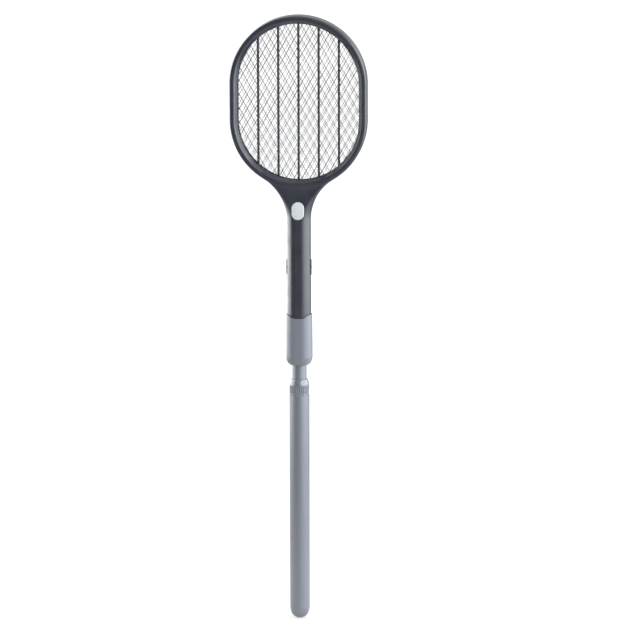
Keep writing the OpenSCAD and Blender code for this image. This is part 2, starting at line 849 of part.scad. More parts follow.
module battery_cells() {
    nub_h = 1;
    nub_r = 2.6;
    nub_root = 0.5;
    color("steelblue") for (side = [-1, 1])
        translate([side * cell_x, cell_y, cell_z]) {
            translate([0, 0, side < 0 ? 0 : nub_h]) cylinder(h = cell_len - nub_h, r = cell_r);
            translate([0, 0, side < 0 ? cell_len - nub_h - nub_root : 0])
                cylinder(h = nub_h + nub_root, r = nub_r);
        }
}

module battery_contacts() {
    plate_w = 10;
    color(steel) {
        translate([-cell_x - plate_w / 2, cell_y - plate_w / 2, cell_z - slide_gap - contact_t])
            cube([2 * cell_x + plate_w, plate_w, contact_t]);
        for (side = [-1, 1])
            translate([side * cell_x - plate_w / 2, cell_y - plate_w / 2, cell_end_z + slide_gap])
                cube([plate_w, plate_w, contact_t]);
    }
}

// ---- screws ----

module rear_screw(x, z, r, head_r, face_y, tip_y) {
    head_y = face_y - screw_head_sink + seat_gap;
    difference() {
        union() {
            along_y(x, z, tip_y, head_y + 0.5, r);
            along_y(x, z, head_y, head_y + screw_head_h, head_r);
        }
        for (a = [0, 90]) translate([x, head_y + screw_head_h, z]) rotate([0, a, 0])
            cube([1.4 * head_r, screw_slot_w, 0.25 * head_r], center = true);
    }
}

module handle_screws() {
    color(steel) for (p = handle_screw_places)
        rear_screw(
            p[0], p[1], handle_screw_d / 2 - seat_gap, handle_screw_head_r,
            neck_half_depth(p[1]) - shell_wall, -handle_screw_tip);
}

module ring_screws() {
    color(steel) for (p = ring_screw_places)
        rear_screw(p[0], p[1], ring_screw_d / 2 - seat_gap, ring_screw_head_r, half_ring, -ring_screw_tip);
}

// ---- moving controls ----

// Slope of the neck's face where the button sits
button_tilt = atan((neck_half_depth(button_z - 1) - neck_half_depth(button_z + 1)) / 2);
button_face_y = -neck_half_depth(button_z) - button_proud;
button_wall = 1.5;
button_roof = 4;
button_roof_y = button_face_y + button_roof;

module trigger_button() {
    blank = 3;
    hollow_w = button_w - 2 * button_wall;
    hollow_h = button_h - 2 * button_wall;
    color(light_grey) difference() {
        union() {
            intersection() {
                upright_plate((button_flange_y - half_depth - blank) / 2, half_depth + blank + button_flange_y)
                    translate([0, button_z]) oval(button_w, button_h);
                translate([0, button_face_y, button_z]) rotate([-button_tilt, 0, 0])
                    translate([0, button_dome_r, 0]) sphere(r = button_dome_r, $fn = 128);
            }
            upright_plate(button_flange_y + button_flange_t / 2, button_flange_t)
                translate([0, button_z]) oval(button_w + 2 * button_flange_w, button_h + 2 * button_flange_w);
            along_y(0, button_z, button_face_y + button_roof / 2, button_stem_y, button_stem_r);
        }
        difference() {
            upright_plate((button_roof_y + button_stem_y + 1) / 2, button_stem_y + 1 - button_roof_y)
                translate([0, button_z]) oval(hollow_w, hollow_h);
            along_y(0, button_z, button_face_y, button_stem_y + 2, button_stem_r);
        }
    }
}

// Coil round the button's stem, from the board up to the hollow's roof
module button_spring() {
    start_y = board_y - seat_gap - spring_wire_r;
    end_y = button_roof_y + 2 * seat_gap + spring_wire_r;
    per_turn = 14;
    count = spring_turns * per_turn;
    sides = 6;
    points = [
        for (k = [0:count]) for (j = [0:sides - 1])
            let (
                a = 360 * k / per_turn, b = 360 * j / sides, r = spring_r + spring_wire_r * cos(b),
                y = start_y + (end_y - start_y) * k / count + spring_wire_r * sin(b)
            ) [r * cos(a), y, button_z + r * sin(a)]
    ];
    skin = [
        for (k = [0:count - 1]) for (j = [0:sides - 1])
            let (a = k * sides + j, b = k * sides + (j + 1) % sides)
                [a, b, b + sides, a + sides]
    ];
    ends = [[for (j = [sides - 1:-1:0]) j], [for (j = [0:sides - 1]) count * sides + j]];
    color(steel) polyhedron(points, concat(skin, ends), convexity = 10);
}

module side_slider(side) {
    ridge = 1.6;
    ridge_proud = 0.5;
    ridge_inset = 1;
    color(charcoal) mirror([side < 0 ? 1 : 0, 0, 0]) {
        translate([pad_back_x, 0, 0]) rotate([90, 0, 90])
            linear_extrude(pad_face_x - pad_back_x) translate([0, slider_z]) oval(slider_w, slider_len);
        translate([pad_face_x - ridge_proud, -slider_w / 2 + ridge_inset, slider_z - ridge / 2])
            cube([2 * ridge_proud, slider_w - 2 * ridge_inset, ridge]);
        translate([stem_x, -stem_w / 2, slider_z - stem_len / 2])
            cube([(pad_back_x + pad_face_x) / 2 - stem_x, stem_w, stem_len]);
    }
}

module power_slider() { side_slider(-1); }
module light_slider() { side_slider(1); }

outer_tube();
end_cap();
split_sleeve();
lock_nut();
inner_tube();
guide_bush();
socket();
socket_screw();
front_shell();
rear_shell();
front_rib_frame();
rear_rib_frame();
front_grid();
centre_grid();
rear_grid();
grid_leads();
circuit_board();
transformer();
capacitor();
diodes();
transistor();
trigger_switch();
power_switch();
light_switch();
light_led();
battery_cells();
battery_contacts();
handle_screws();
ring_screws();
trigger_button();
button_spring();
power_slider();
light_slider();
battery_cover();
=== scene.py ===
import math
import bmesh
import bpy
import numpy as np
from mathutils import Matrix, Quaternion, Vector


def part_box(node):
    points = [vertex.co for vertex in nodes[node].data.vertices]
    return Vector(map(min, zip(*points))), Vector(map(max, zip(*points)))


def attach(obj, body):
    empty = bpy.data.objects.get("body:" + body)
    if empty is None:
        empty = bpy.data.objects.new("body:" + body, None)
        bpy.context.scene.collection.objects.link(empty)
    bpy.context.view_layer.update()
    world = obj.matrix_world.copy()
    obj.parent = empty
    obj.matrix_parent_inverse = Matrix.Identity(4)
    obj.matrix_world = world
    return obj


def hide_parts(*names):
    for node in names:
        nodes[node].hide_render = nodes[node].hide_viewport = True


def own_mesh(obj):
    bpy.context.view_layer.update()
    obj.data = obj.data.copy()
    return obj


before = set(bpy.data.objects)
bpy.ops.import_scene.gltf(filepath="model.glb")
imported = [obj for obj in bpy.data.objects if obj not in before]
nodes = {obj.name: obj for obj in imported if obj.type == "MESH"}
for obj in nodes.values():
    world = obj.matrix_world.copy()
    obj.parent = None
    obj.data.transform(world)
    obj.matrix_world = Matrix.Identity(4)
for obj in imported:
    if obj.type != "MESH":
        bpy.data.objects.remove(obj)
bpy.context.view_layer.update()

# Lengths are in millimetres up to build(), which turns them into metres. The camera, the
# materials and the studio are in metres.
MM = 0.001


def level(node, high):
    """Lowest or highest Z of a CAD node, in mm."""
    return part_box(node)[1 if high else 0].z / MM


# ---- pole sizes. Here and below, a section's W and D are half sizes, and R is a radius ----

TUBE_R, TUBE_BORE = 14.0, 12.0
TUBE_TOP = level("outer_tube", True)
CAP_H = -level("end_cap", False)
CAP_POWER = 2.5  # exponent of the end cap's rounding: 2 would be half an ellipse
NECK_TUBE_R, NECK_TUBE_BORE = 10.05, 8.85

# ---- lock nut sizes ----

NUT_Z, NUT_TOP = level("lock_nut", False), level("lock_nut", True)
NUT_R, NUT_TOP_R, NUT_BORE_R = 13.7, 11.1, 10.35
NUT_FLUTES, NUT_FLUTE = 30, 0.55
NUT_LAND, NUT_GRIP = 1.0, 11.5
NUT_ROOF = 6.0

# ---- socket sizes ----

SOCKET_Z, RIM_Z = level("socket", False), level("socket", True)
SOCKET_W, SOCKET_D, SOCKET_R = 18.0, 15.6, 14.4
SOCKET_FLARE = 0.5
SOCKET_SHOULDER = 13.0
SOCKET_FLOOR = SOCKET_Z + 15.6
SOCKET_FOOT_R = 11.0
SOCKET_GAP = 0.25
RIM_ROUND = 0.5
RIM_DIP, RIM_FLAT, RIM_TOP = 4.6, 6.3, 14.5

# ---- racket sizes ----

HANDLE_Z = level("front_shell", False)
HALF_W, HALF_D, CORNER = 16.4, 14.0, 12.8
WALL = 1.8
FILLET = 69.5
HEAD_R = 94.8
HEAD_LEN = 50.0
HEAD_TOP = level("front_shell", True) - HEAD_R
HEAD_Z = HEAD_TOP - HEAD_LEN
RING_D = 11.0
NECK_REACH = math.sqrt((HEAD_R + FILLET) ** 2 - (HALF_W + FILLET) ** 2)
NECK_Z = HEAD_Z - NECK_REACH
NECK_END = NECK_Z + NECK_REACH * FILLET / (HEAD_R + FILLET)
NECK_STOP = HEAD_Z - 60  # the neck's field goes no higher
NECK_EDGE_R = 86.5  # and it stays this far from the head's lower centre
GROOVE_R, FACE_R, OPENING_R = 89.0, 88.0, 83.6
GROOVE_D, LIP_D, EDGE_R = 4.6, 6.0, 2.4
RING_CORE = 60.0  # the ring's section is measured from this radius
CAVITY_GROWTH = 4  # how much wider than the handle the neck's cavity gets
CAVITY_STOP = HEAD_R + 1.2
STACK_R = 88.7
CHANNEL_W, CHANNEL_H, CHANNEL_DROP = 7.9, 6.8, 91  # way for the grids' tabs, below HEAD_Z

# ---- sizes of what the handle holds ----

CELL_Z, CELL_END = RIM_Z + 4.8, RIM_Z + 55.3
BOARD_Z = CELL_END + 3.5
BOARD_SCREW = BOARD_Z + 30
PLATES = [(HANDLE_Z + 0.4, WALL), (CELL_Z - 2.5, 1.4), (CELL_END + 1.1, 1.4)]  # (height, thickness)
SLIDER_Z = BOARD_SCREW - 22.5
SLIDER_TRAVEL_MID = SLIDER_Z + 2
SLIDER_W, SLIDER_H = 4.0, 11.25
BUTTON_Z = NECK_Z + 14.5
BUTTON_W, BUTTON_H, BUTTON_GAP = 8.6, 12.3, 0.35
COVER = (CELL_Z - 0.2, CELL_END - 0.6)
COVER_MID, COVER_HALF = (COVER[0] + COVER[1]) / 2, (COVER[1] - COVER[0]) / 2
COVER_W, COVER_CORNER, COVER_GAP = 11.0, 0.8, 0.3

# ---- screws, all along Y: (x, z) of each ----

BOSS_R = 3.0
HANDLE_SCREWS = [(0, HANDLE_Z + 10), (0, RIM_Z - 12), (0, BOARD_SCREW),
                 (-16.5, NECK_Z + 40), (16.5, NECK_Z + 40)]
RING_SCREW_R = 90.2
UPPER_SCREWS = [math.radians(a) for a in (30, 90, 150)]
LOWER_SCREW = math.radians(32)
RING_SCREWS = [(RING_SCREW_R * math.cos(a), HEAD_TOP + RING_SCREW_R * math.sin(a)) for a in UPPER_SCREWS]
RING_SCREWS += [(s * RING_SCREW_R, (HEAD_Z + HEAD_TOP) / 2) for s in (-1, 1)]
RING_SCREWS += [(s * RING_SCREW_R * math.cos(LOWER_SCREW), HEAD_Z - RING_SCREW_R * math.sin(LOWER_SCREW))
                for s in (-1, 1)]


# ---- camera ----

def make_camera():
    azimuth, elevation, roll = math.radians(6.5), math.radians(12.0), math.radians(-0.17)
    target, distance = Vector((0, 0, 0.409)), 6.0
    back = Vector((math.sin(azimuth) * math.cos(elevation), -math.cos(azimuth) * math.cos(elevation),
                   math.sin(elevation)))
    data = bpy.data.cameras.new("camera")
    data.sensor_width = 36
    data.lens = 245.4
    picture, middle = 634, 317
    seen_x, seen_y = 299.18, 319.5  # where the photograph has the target, in its pixels
    data.shift_x = (middle - seen_x) / picture
    data.shift_y = (seen_y - middle) / picture
    data.clip_start, data.clip_end = 0.1, 100
    cam = bpy.data.objects.new("camera", data)
    bpy.context.scene.collection.objects.link(cam)
    cam.location = target + back * distance
    cam.rotation_mode = "QUATERNION"
    cam.rotation_quaternion = (-back).to_track_quat("-Z", "Y") @ Quaternion((0, 0, 1), roll)
    bpy.context.scene.camera = cam


# ---- mesh helpers ----

def build(name, points, faces):
    """A smooth-shaded mesh object from points in mm and faces as index lists or an (n, 4) array."""
    mesh = bpy.data.meshes.new(name)
    mesh.from_pydata((np.asarray(points, float) * MM).tolist(), [], [list(map(int, f)) for f in faces])
    mesh.validate()
    mesh.shade_smooth()
    obj = bpy.data.objects.new(name, mesh)
    bpy.context.scene.collection.objects.link(obj)
    return obj


def sheet(rows, close_rows=True):
    """Faces that join rows of equal point counts. Columns wrap round, and rows do if close_rows."""
    points = np.asarray(rows, float)
    count, n = points.shape[:2]
    index = np.arange(count * n).reshape(count, n)
    a = index if close_rows else index[:-1]
    b = np.roll(index, -1, axis=0) if close_rows else index[1:]
    quads = np.stack([a, np.roll(a, -1, axis=1), np.roll(b, -1, axis=1), b], axis=-1).reshape(-1, 4)
    return points.reshape(-1, 3), quads


def weld(obj, distance=1e-6):
    """Joins points that lie on each other and drops what has no area."""
    bm = bmesh.new()
    bm.from_mesh(obj.data)
    bmesh.ops.remove_doubles(bm, verts=bm.verts, dist=distance)
    bmesh.ops.dissolve_degenerate(bm, edges=bm.edges, dist=distance)
    bmesh.ops.recalc_face_normals(bm, faces=bm.faces)
    bm.to_mesh(obj.data)
    bm.free()
    obj.data.shade_smooth()
    return obj


def join(objects):
    """Makes one object of several, with the first one's name."""
    bm = bmesh.new()
    for obj in objects:
        bm.from_mesh(obj.data)
    bm.to_mesh(objects[0].data)
    bm.free()
    for obj in objects[1:]:
        bpy.data.objects.remove(obj)
    objects[0].data.shade_smooth()
    return objects[0]


def cut(obj, tool, operation="DIFFERENCE"):
    """Applies a boolean with another object, which is then gone."""
    mod = obj.modifiers.new("cut", "BOOLEAN")
    mod.operation = operation
    mod.solver = "EXACT"
    mod.object = tool
    dg = bpy.context.evaluated_depsgraph_get()
    mesh = bpy.data.meshes.new_from_object(obj.evaluated_get(dg))
    obj.modifiers.clear()
    obj.data = mesh
    bpy.data.objects.remove(tool)


def sharpen(obj, angle):
    """Shades edges sharper than the angle, in degrees, as edges, and the rest smooth."""
    obj.data.shade_smooth()
    obj.data.set_sharp_from_angle(angle=math.radians(angle))


def circle(radius, columns, height):
    """Points of a level circle round the Z axis. radius may be an array with one value a column."""
    angle = np.arange(columns) * 2 * math.pi / columns
    return np.stack([radius * np.cos(angle), radius * np.sin(angle), np.full(columns, height)], axis=-1)


def lathe(name, profile, columns=128):
    """Turns a closed profile of (radius, height) round the Z axis."""
    return build(name, *sheet([circle(r, columns, z) for r, z in profile]))


def turned_tool(profile, x, z, columns=40):
    """A solid turned round an axis along Y: profile holds (radius, y)."""
    angle = np.arange(columns) * 2 * math.pi / columns
    rows = [
        np.stack([x + r * np.cos(angle), np.full(columns, y), z + r * np.sin(angle)], axis=-1)
        for r, y in profile
    ]
    return weld(build("tool", *sheet(rows)))


# ---- outlines ----

def rounded(polygon, radii, support=0.35, steps=5):
    """Points of a closed polygon with its corners rounded, and a support point beside every arc."""
    straight, roomy = math.radians(176), 2.2
    out = []
    for i, (p, r) in enumerate(zip(polygon, radii)):
        p = np.array(p, float)
        a, b = np.array(polygon[i - 1], float) - p, np.array(polygon[(i + 1) % len(polygon)], float) - p
        la, lb = np.linalg.norm(a), np.linalg.norm(b)
        a, b = a / la, b / lb
        angle = math.acos(float(np.clip(a @ b, -1, 1)))
        if r <= 0 or angle > straight:
            out.append(p)
            continue
        reach = r / math.tan(angle / 2)
        mid = (a + b) / np.linalg.norm(a + b)
        centre = p + mid * r / math.sin(angle / 2)
        start, end = p + a * reach - centre, p + b * reach - centre
        if la > roomy * (reach + support):
            out.append(p + a * (reach + support))
        turn = math.pi - angle
        for k in range(steps + 1):
            t = k / steps
            arm = math.sin((1 - t) * turn) * start + math.sin(t * turn) * end
            out.append(centre + arm / math.sin(turn))
        if lb > roomy * (reach + support):
            out.append(p + b * (reach + support))
    return np.array(out)


def split_long(profile, parts=24, long=100):
    """Divides a profile's long edges, so that no face is as long as the tube it belongs to."""
    out = []
    for a, b in zip(profile, np.roll(profile, -1, axis=0)):
        count = parts if np.linalg.norm(b - a) > long else 1
        out += [a + (b - a) * k / count for k in range(count)]
    return out


def rounded_rect(w, d, r, arc=24, flat=6):
    """Points round a rounded rectangle of half sizes w and d, the same number whatever the sizes."""
    corners = ((1, -1), (1, 1), (-1, 1), (-1, -1))
    out = []
    for i, (sx, sy) in enumerate(corners):
        start = 90 * i - 90
        for k in range(arc + 1):
            a = math.radians(start + 90 * k / arc)
            out.append((sx * (w - r) + r * math.cos(a), sy * (d - r) + r * math.sin(a)))
        a = math.radians(start + 90)
        nx, ny = corners[(i + 1) % 4]
        here, there = out[-1], (nx * (w - r) + r * math.cos(a), ny * (d - r) + r * math.sin(a))
        for k in range(1, flat):
            t = k / flat
            out.append((here[0] + (there[0] - here[0]) * t, here[1] + (there[1] - here[1]) * t))
    return np.array(out)


def oval_ring(w, h, columns=96, straight=8):
    """Points round an oval with round ends, half sizes w and h, the same number whatever the sizes."""
    out = []
    arc = columns // 2 - straight
    for side, start in ((1, 0), (-1, 180)):
        for k in range(arc):
            a = math.radians(start + 180 * k / arc)
            out.append((w * math.cos(a), side * (h - w) + w * math.sin(a)))
        for k in range(straight):
            t = k / straight
            out.append((-side * w, side * (h - w) * (1 - 2 * t)))
    return np.array(out)


def head_path(r, steps=80, straight=4):
    """Points round the head's outline at radius r, in the XZ plane."""
    points = []
    for start, z0, z1 in ((0, HEAD_TOP, HEAD_Z), (180, HEAD_Z, HEAD_TOP)):
        for k in range(steps + 1):
            a = math.radians(start + 180 * k / steps)
            points.append((r * math.cos(a), z0 + r * math.sin(a)))
        x = points[-1][0]
        for k in range(1, straight):
            points.append((x, z0 + (z1 - z0) * k / straight))
    return np.array(points)


# ---- distance fields, in mm, negative inside ----

def ease(t):
    """0 to 1 with a soft start and end."""
    return t * t * (3 - 2 * t)


def soft_min(a, b, k):
    """Union of two fields with a fillet about k wide."""
    h = np.clip(0.5 + 0.5 * (b - a) / k, 0, 1)
    return b * (1 - h) + a * h - k * h * (1 - h)


def soft_max(a, b, k):
    """What two fields have in common, its new edges rounded about k wide."""
    return -soft_min(-a, -b, k)


def box2(u, v, w, d, r):
    """Distance to a rounded rectangle of half sizes w and d."""
    qu, qv = np.abs(u) - (w - r), np.abs(v) - (d - r)
    return np.hypot(np.maximum(qu, 0), np.maximum(qv, 0)) + np.minimum(np.maximum(qu, qv), 0) - r


def oval2(u, v, w, h):
    """Distance to an oval with round ends, half sizes w and h."""
    return np.hypot(u, v - np.clip(v, w - h, h - w)) - w


def neck_size(z):
    """Half width, half depth and corner radius of the handle and neck at height z."""
    dz = np.clip(z, NECK_Z, NECK_END) - NECK_Z
    share = ease(np.clip((z - NECK_Z) / (HEAD_Z - HEAD_R - NECK_Z), 0, 1))
    width = HALF_W + FILLET - np.sqrt(FILLET ** 2 - dz ** 2)
    head_d, head_corner = RING_D - 0.2, 4
    return width, HALF_D + (head_d - HALF_D) * share, CORNER + (head_corner - CORNER) * share


def outer_body(x, y, z):
    """Ring, neck and handle as one full solid, and the radius from the head's centre line."""
    rho = np.hypot(x, z - np.clip(z, HEAD_Z, HEAD_TOP))
    depth = np.abs(y)
    ring = box2(np.maximum(rho - RING_CORE, 0), depth, HEAD_R - RING_CORE, RING_D, EDGE_R)
    slope_d, slope_r = RING_D - LIP_D, FACE_R - OPENING_R
    slant = ((rho - FACE_R) * -slope_d + (depth - RING_D) * slope_r) / math.hypot(slope_d, slope_r)
    ring = soft_max(ring, slant, 1.0)
    ring = soft_max(ring, OPENING_R - rho, 0.5)
    neck = box2(x, y, *neck_size(z))
    neck = soft_max(neck, NECK_EDGE_R - np.hypot(x, z - HEAD_Z), 0.4)
    neck = np.maximum(neck, z - NECK_STOP)
    neck = soft_max(neck, HANDLE_Z - z, 0.8)
    return soft_min(ring, neck, 1.4), rho


def cavity(x, y, z, side):
    """The hollow of the handle and neck, left out round plates, screw bosses and button guide."""
    w, d, r = neck_size(z)
    inner = box2(x, y, np.minimum(w, HALF_W + CAVITY_GROWTH) - WALL, d - WALL, np.maximum(r - WALL, 1))
    inner = np.maximum(inner, CAVITY_STOP - np.hypot(x, z - HEAD_Z))
    inner = np.maximum(inner, np.maximum(HANDLE_Z + 0.4 - z, z - NECK_STOP))
    for low, thick in PLATES:
        inner = np.maximum(inner, thick / 2 - np.abs(z - low - thick / 2))
    for sx, sz in HANDLE_SCREWS:
        inner = soft_max(inner, BOSS_R - np.hypot(x - sx, z - sz), 0.6)
    if side < 0:
        guide_wall, guide_end = 2, 9.6
        guide = np.maximum(oval2(x, z - BUTTON_Z, BUTTON_W + guide_wall, BUTTON_H + guide_wall),
                           y + guide_end)
        inner = soft_max(inner, -guide, 0.4)
    return inner


def shell(x, y, z, side):
    """Front (side -1) or rear (side 1) half of the racket's housing."""
    solid, rho = outer_body(x, y, z)
    solid = soft_max(solid, -cavity(x, y, z, side), 0.4)
    solid = soft_max(solid, -np.maximum(rho - GROOVE_R, np.abs(y) - GROOVE_D), 0.3)
    channel = np.maximum(np.maximum(np.abs(x) - CHANNEL_W, np.abs(y) - GROOVE_D),
                         np.abs(z - HEAD_Z + CHANNEL_DROP) - CHANNEL_H)
    solid = soft_max(solid, -channel, 0.3)
    pocket_d, slot_w, slot_h, slot_x = 0.7, 1.9, 4.9, 11
    pocket = np.maximum(oval2(y, z - SLIDER_TRAVEL_MID, SLIDER_W + 0.4, SLIDER_H + 2.4),
                        HALF_W - pocket_d - np.abs(x))
    solid = soft_max(solid, -pocket, 0.45)
    slot = np.maximum(np.maximum(np.abs(y) - slot_w, np.abs(z - SLIDER_TRAVEL_MID) - slot_h),
                      slot_x - np.abs(x))
    solid = soft_max(solid, -slot, 0.3)
    if side < 0:
        hole = np.maximum(oval2(x, z - BUTTON_Z, BUTTON_W + BUTTON_GAP, BUTTON_H + BUTTON_GAP), y + 1)
        solid = soft_max(solid, -hole, 0.5)
    else:
        bay = np.maximum(box2(x, z - COVER_MID, COVER_W, COVER_HALF, COVER_CORNER), 5 - y)
        solid = soft_max(solid, -bay, 0.35)
    return soft_max(solid, -side * y, 0.5)


def cover_field(x, y, z):
    """The battery cover: a piece of the handle's rear wall with grip ridges."""
    body = box2(x, y, HALF_W, HALF_D, CORNER)
    pitch, first, middle, groove_w, groove_d = 2.4, COVER[0] + 7.5, COVER[0] + 12.3, 0.45, 0.45
    ridge_z = np.abs((z - first) % pitch - pitch / 2)
    grooves = np.maximum(box2(x, z - middle, 7.5, 6.2, 3.0) * 0.5, groove_w - ridge_z)
    body = soft_max(body, -np.maximum(grooves, -(body + groove_d)), 0.25)
    field = soft_max(body, -box2(x, y, HALF_W - WALL, HALF_D - WALL, CORNER - WALL), 0.4)
    edge = box2(x, z - COVER_MID, COVER_W - COVER_GAP, COVER_HALF - COVER_GAP, COVER_CORNER)
    return soft_max(soft_max(field, edge, 0.5), 5 + COVER_GAP - y, 0.3)


def slider_field(x, y, z, side):
    """One side thumb pad with its small cross ridge and its stem."""
    u = side * x
    up = z - SLIDER_Z
    face, hollow = HALF_W + 1.1, 0.02
    pad = soft_max(oval2(y, up, SLIDER_W, SLIDER_H), u - face + hollow * y * y, 0.9)
    pad = soft_max(pad, HALF_W - 0.4 - u, 0.2)
    ridge = np.maximum(box2(y, up, 3.0, 0.8, 0.3), box2(u, up, face + 0.45, 0.8, 0.4))
    ridge = np.maximum(ridge, HALF_W - u)
    pad = soft_min(pad, ridge, 0.35)
    stem_x, stem_reach = 14.5, 2.3
    stem = np.maximum(box2(y, up, 1.5, 2.5, 0.3), np.abs(u - stem_x) - stem_reach)
    return soft_min(pad, stem, 0.3)


# ---- closed surfaces from fields ----

def ticks(*spans):
    """Grid coordinates from spans of (start, end, step)."""
    out = []
    for start, end, step in spans:
        out.extend(np.linspace(start, end, max(int(round((end - start) / step)), 1) + 1)[:-1])
    return np.array(out + [spans[-1][1]])


def sample(field, grid, slab=48):
    """The field at every grid point, worked out in slabs to save memory."""
    xs, ys, zs = grid
    values = np.empty((len(xs), len(ys), len(zs)), np.float32)
    for k in range(0, len(zs), slab):
        values[:, :, k:k + slab] = field(xs[:, None, None], ys[None, :, None], zs[None, None, k:k + slab])
    return values


def cell_points(values, grid, cell):
    """One point a cell: the mean of where the surface crosses the cell's edges."""
    points = np.zeros((cell.shape[1], 3))
    weight = np.zeros(cell.shape[1])
    for axis in range(3):
        u, v = (axis + 1) % 3, (axis + 2) % 3
        for du in (0, 1):
            for dv in (0, 1):
                a = cell.copy()
                a[u] += du
                a[v] += dv
                b = a.copy()
                b[axis] += 1
                va, vb = values[tuple(a)].astype(float), values[tuple(b)].astype(float)
                cross = (va < 0) != (vb < 0)
                t = np.where(cross, va / np.where(cross, va - vb, 1), 0)
                pa = np.stack([grid[m][a[m]] for m in range(3)], axis=-1)
                pb = np.stack([grid[m][b[m]] for m in range(3)], axis=-1)
                points += np.where(cross[:, None], pa + t[:, None] * (pb - pa), 0)
                weight += cross
    return points / weight[:, None]


def cell_quads(inside, index):
    """A quad round each grid edge that the surface crosses. index holds each cell's point."""
    quads = []
    for axis in range(3):
        u, v = (axis + 1) % 3, (axis + 2) % 3
        low, high = [slice(None)] * 3, [slice(None)] * 3
        low[axis], high[axis] = slice(0, -1), slice(1, None)
        a, b = inside[tuple(low)], inside[tuple(high)]
        edge = np.stack(np.nonzero(a != b))
        keep = (edge[u] > 0) & (edge[v] > 0)
        keep &= (edge[u] < inside.shape[u] - 1) & (edge[v] < inside.shape[v] - 1)
        edge = edge[:, keep]
        corners = []
        for du, dv in ((-1, -1), (0, -1), (0, 0), (-1, 0)):
            c = edge.copy()
            c[u] += du
            c[v] += dv
            corners.append(index[tuple(c)])
        quad = np.stack(corners, axis=-1)
        quads.append(np.where(a[tuple(edge)][:, None], quad, quad[:, ::-1]))
    return np.concatenate(quads)


def settle(points, field):
    """Moves points onto the surface, down the field's slope."""
    rounds, probe, least_slope, reach = 3, 0.04, 0.2, 0.6
    home = points
    for _ in range(rounds):
        x, y, z = points.T
        slope = np.stack([
            field(x + probe, y, z) - field(x - probe, y, z),
            field(x, y + probe, z) - field(x, y - probe, z),
            field(x, y, z + probe) - field(x, y, z - probe),
        ], axis=-1) / (2 * probe)
        step = field(x, y, z) / np.maximum((slope ** 2).sum(axis=-1), least_slope)
        points = points - slope * step[:, None]
        points = home + np.clip(points - home, -reach, reach)
    return points


def surface(name, field, *grid):
    """Closed surface where the field is zero, over a grid that reaches past it on all sides."""
    values = sample(field, grid)
    inside = values < 0
    nx, ny, nz = (n - 1 for n in inside.shape)
    count = sum(
        inside[i:nx + i, j:ny + j, k:nz + k].astype(np.int8) for i in (0, 1) for j in (0, 1) for k in (0, 1)
    )
    mixed = (count > 0) & (count < 8)
    index = np.full(mixed.shape, -1)
    index[mixed] = np.arange(mixed.sum())
    points = cell_points(values, grid, np.stack(np.nonzero(mixed)))
    return build(name, settle(points, field), cell_quads(inside, index))


# ---- materials ----

def srgb(r, g, b):
    """Linear colour from 0-255 display values."""
    return tuple(
        (c / 255 / 12.92 if c / 255 <= 0.04045 else ((c / 255 + 0.055) / 1.055) ** 2.4) for c in (r, g, b)
    ) + (1.0,)


def shade(colour, factor):
    return tuple(min(c * factor, 1.0) for c in colour[:3]) + (1.0,)


def colour_sockets(sockets):
    return [s for s in sockets if s.type == "RGBA"]


class Nodes:
    """Short ways to add nodes to a tree. A value is a number, a colour or another node's output."""

    def __init__(self, tree):
        self.tree = tree

    def feed(self, socket, value):
        if isinstance(value, bpy.types.NodeSocket):
            self.tree.links.new(value, socket)
        else:
            socket.default_value = value

    def node(self, kind, inputs=None, **settings):
        made = self.tree.nodes.new(kind)
        for key, value in settings.items():
            setattr(made, key, value)
        for key, value in (inputs or {}).items():
            self.feed(made.inputs[key], value)
        return made

    def spread(self, value, low, high, lo=0.35, hi=0.65):
        """Maps lo..hi to low..high, and holds the ends."""
        return self.node("ShaderNodeMapRange", {
            "Value": value, "From Min": lo, "From Max": hi, "To Min": low, "To Max": high
        }).outputs["Result"]

    def mix(self, factor, a, b):
        made = self.node("ShaderNodeMix", {"Factor": factor}, data_type="RGBA")
        for socket, value in zip(colour_sockets(made.inputs), (a, b)):
            self.feed(socket, value)
        return colour_sockets(made.outputs)[0]

    def math(self, operation, a, b):
        return self.node("ShaderNodeMath", {0: a, 1: b}, operation=operation).outputs["Value"]

    def vector(self, operation, a, b=(0.0, 0.0, 0.0)):
        """The plain value of a vector operation."""
        return self.node("ShaderNodeVectorMath", {0: a, 1: b}, operation=operation).outputs["Value"]


class Look(Nodes):
    """A material under construction, on Blender's own shader and in object coordinates."""

    def __init__(self, name, rough, metal=0.0, **sockets):
        self.name = name
        self.mat = bpy.data.materials.new(name)
        self.mat.use_nodes = True
        super().__init__(self.mat.node_tree)
        self.shader = self.tree.nodes["Principled BSDF"]
        self.set("Metallic", metal)
        self.set("Roughness", rough)
        for socket, value in sockets.items():
            self.set(socket.replace("_", " "), value)
        self.place = self.node("ShaderNodeTexCoord").outputs["Object"]
        self.normal = None

    def set(self, socket, value):
        self.feed(self.shader.inputs[socket], value)

    def mapped(self, **sockets):
        """Object coordinates, turned or scaled per axis."""
        return self.node("ShaderNodeMapping", {"Vector": self.place, **sockets}).outputs["Vector"]

    def noise(self, scale, detail=3.0, rough=0.5, place=None):
        return self.node("ShaderNodeTexNoise", {
            "Scale": scale, "Detail": detail, "Roughness": rough, "Vector": place or self.place
        }).outputs["Fac"]

    def wave(self, scale, direction="Z"):
        return self.node("ShaderNodeTexWave", {"Scale": scale, "Vector": self.place},
                         bands_direction=direction).outputs["Fac"]

    def bump(self, height, strength, distance):
        """Adds relief, its distance in metres, to what is there already."""
        inputs = {"Strength": strength, "Distance": distance, "Height": height}
        if self.normal is not None:
            inputs["Normal"] = self.normal
        self.normal = self.node("ShaderNodeBump", inputs).outputs["Normal"]
        self.set("Normal", self.normal)


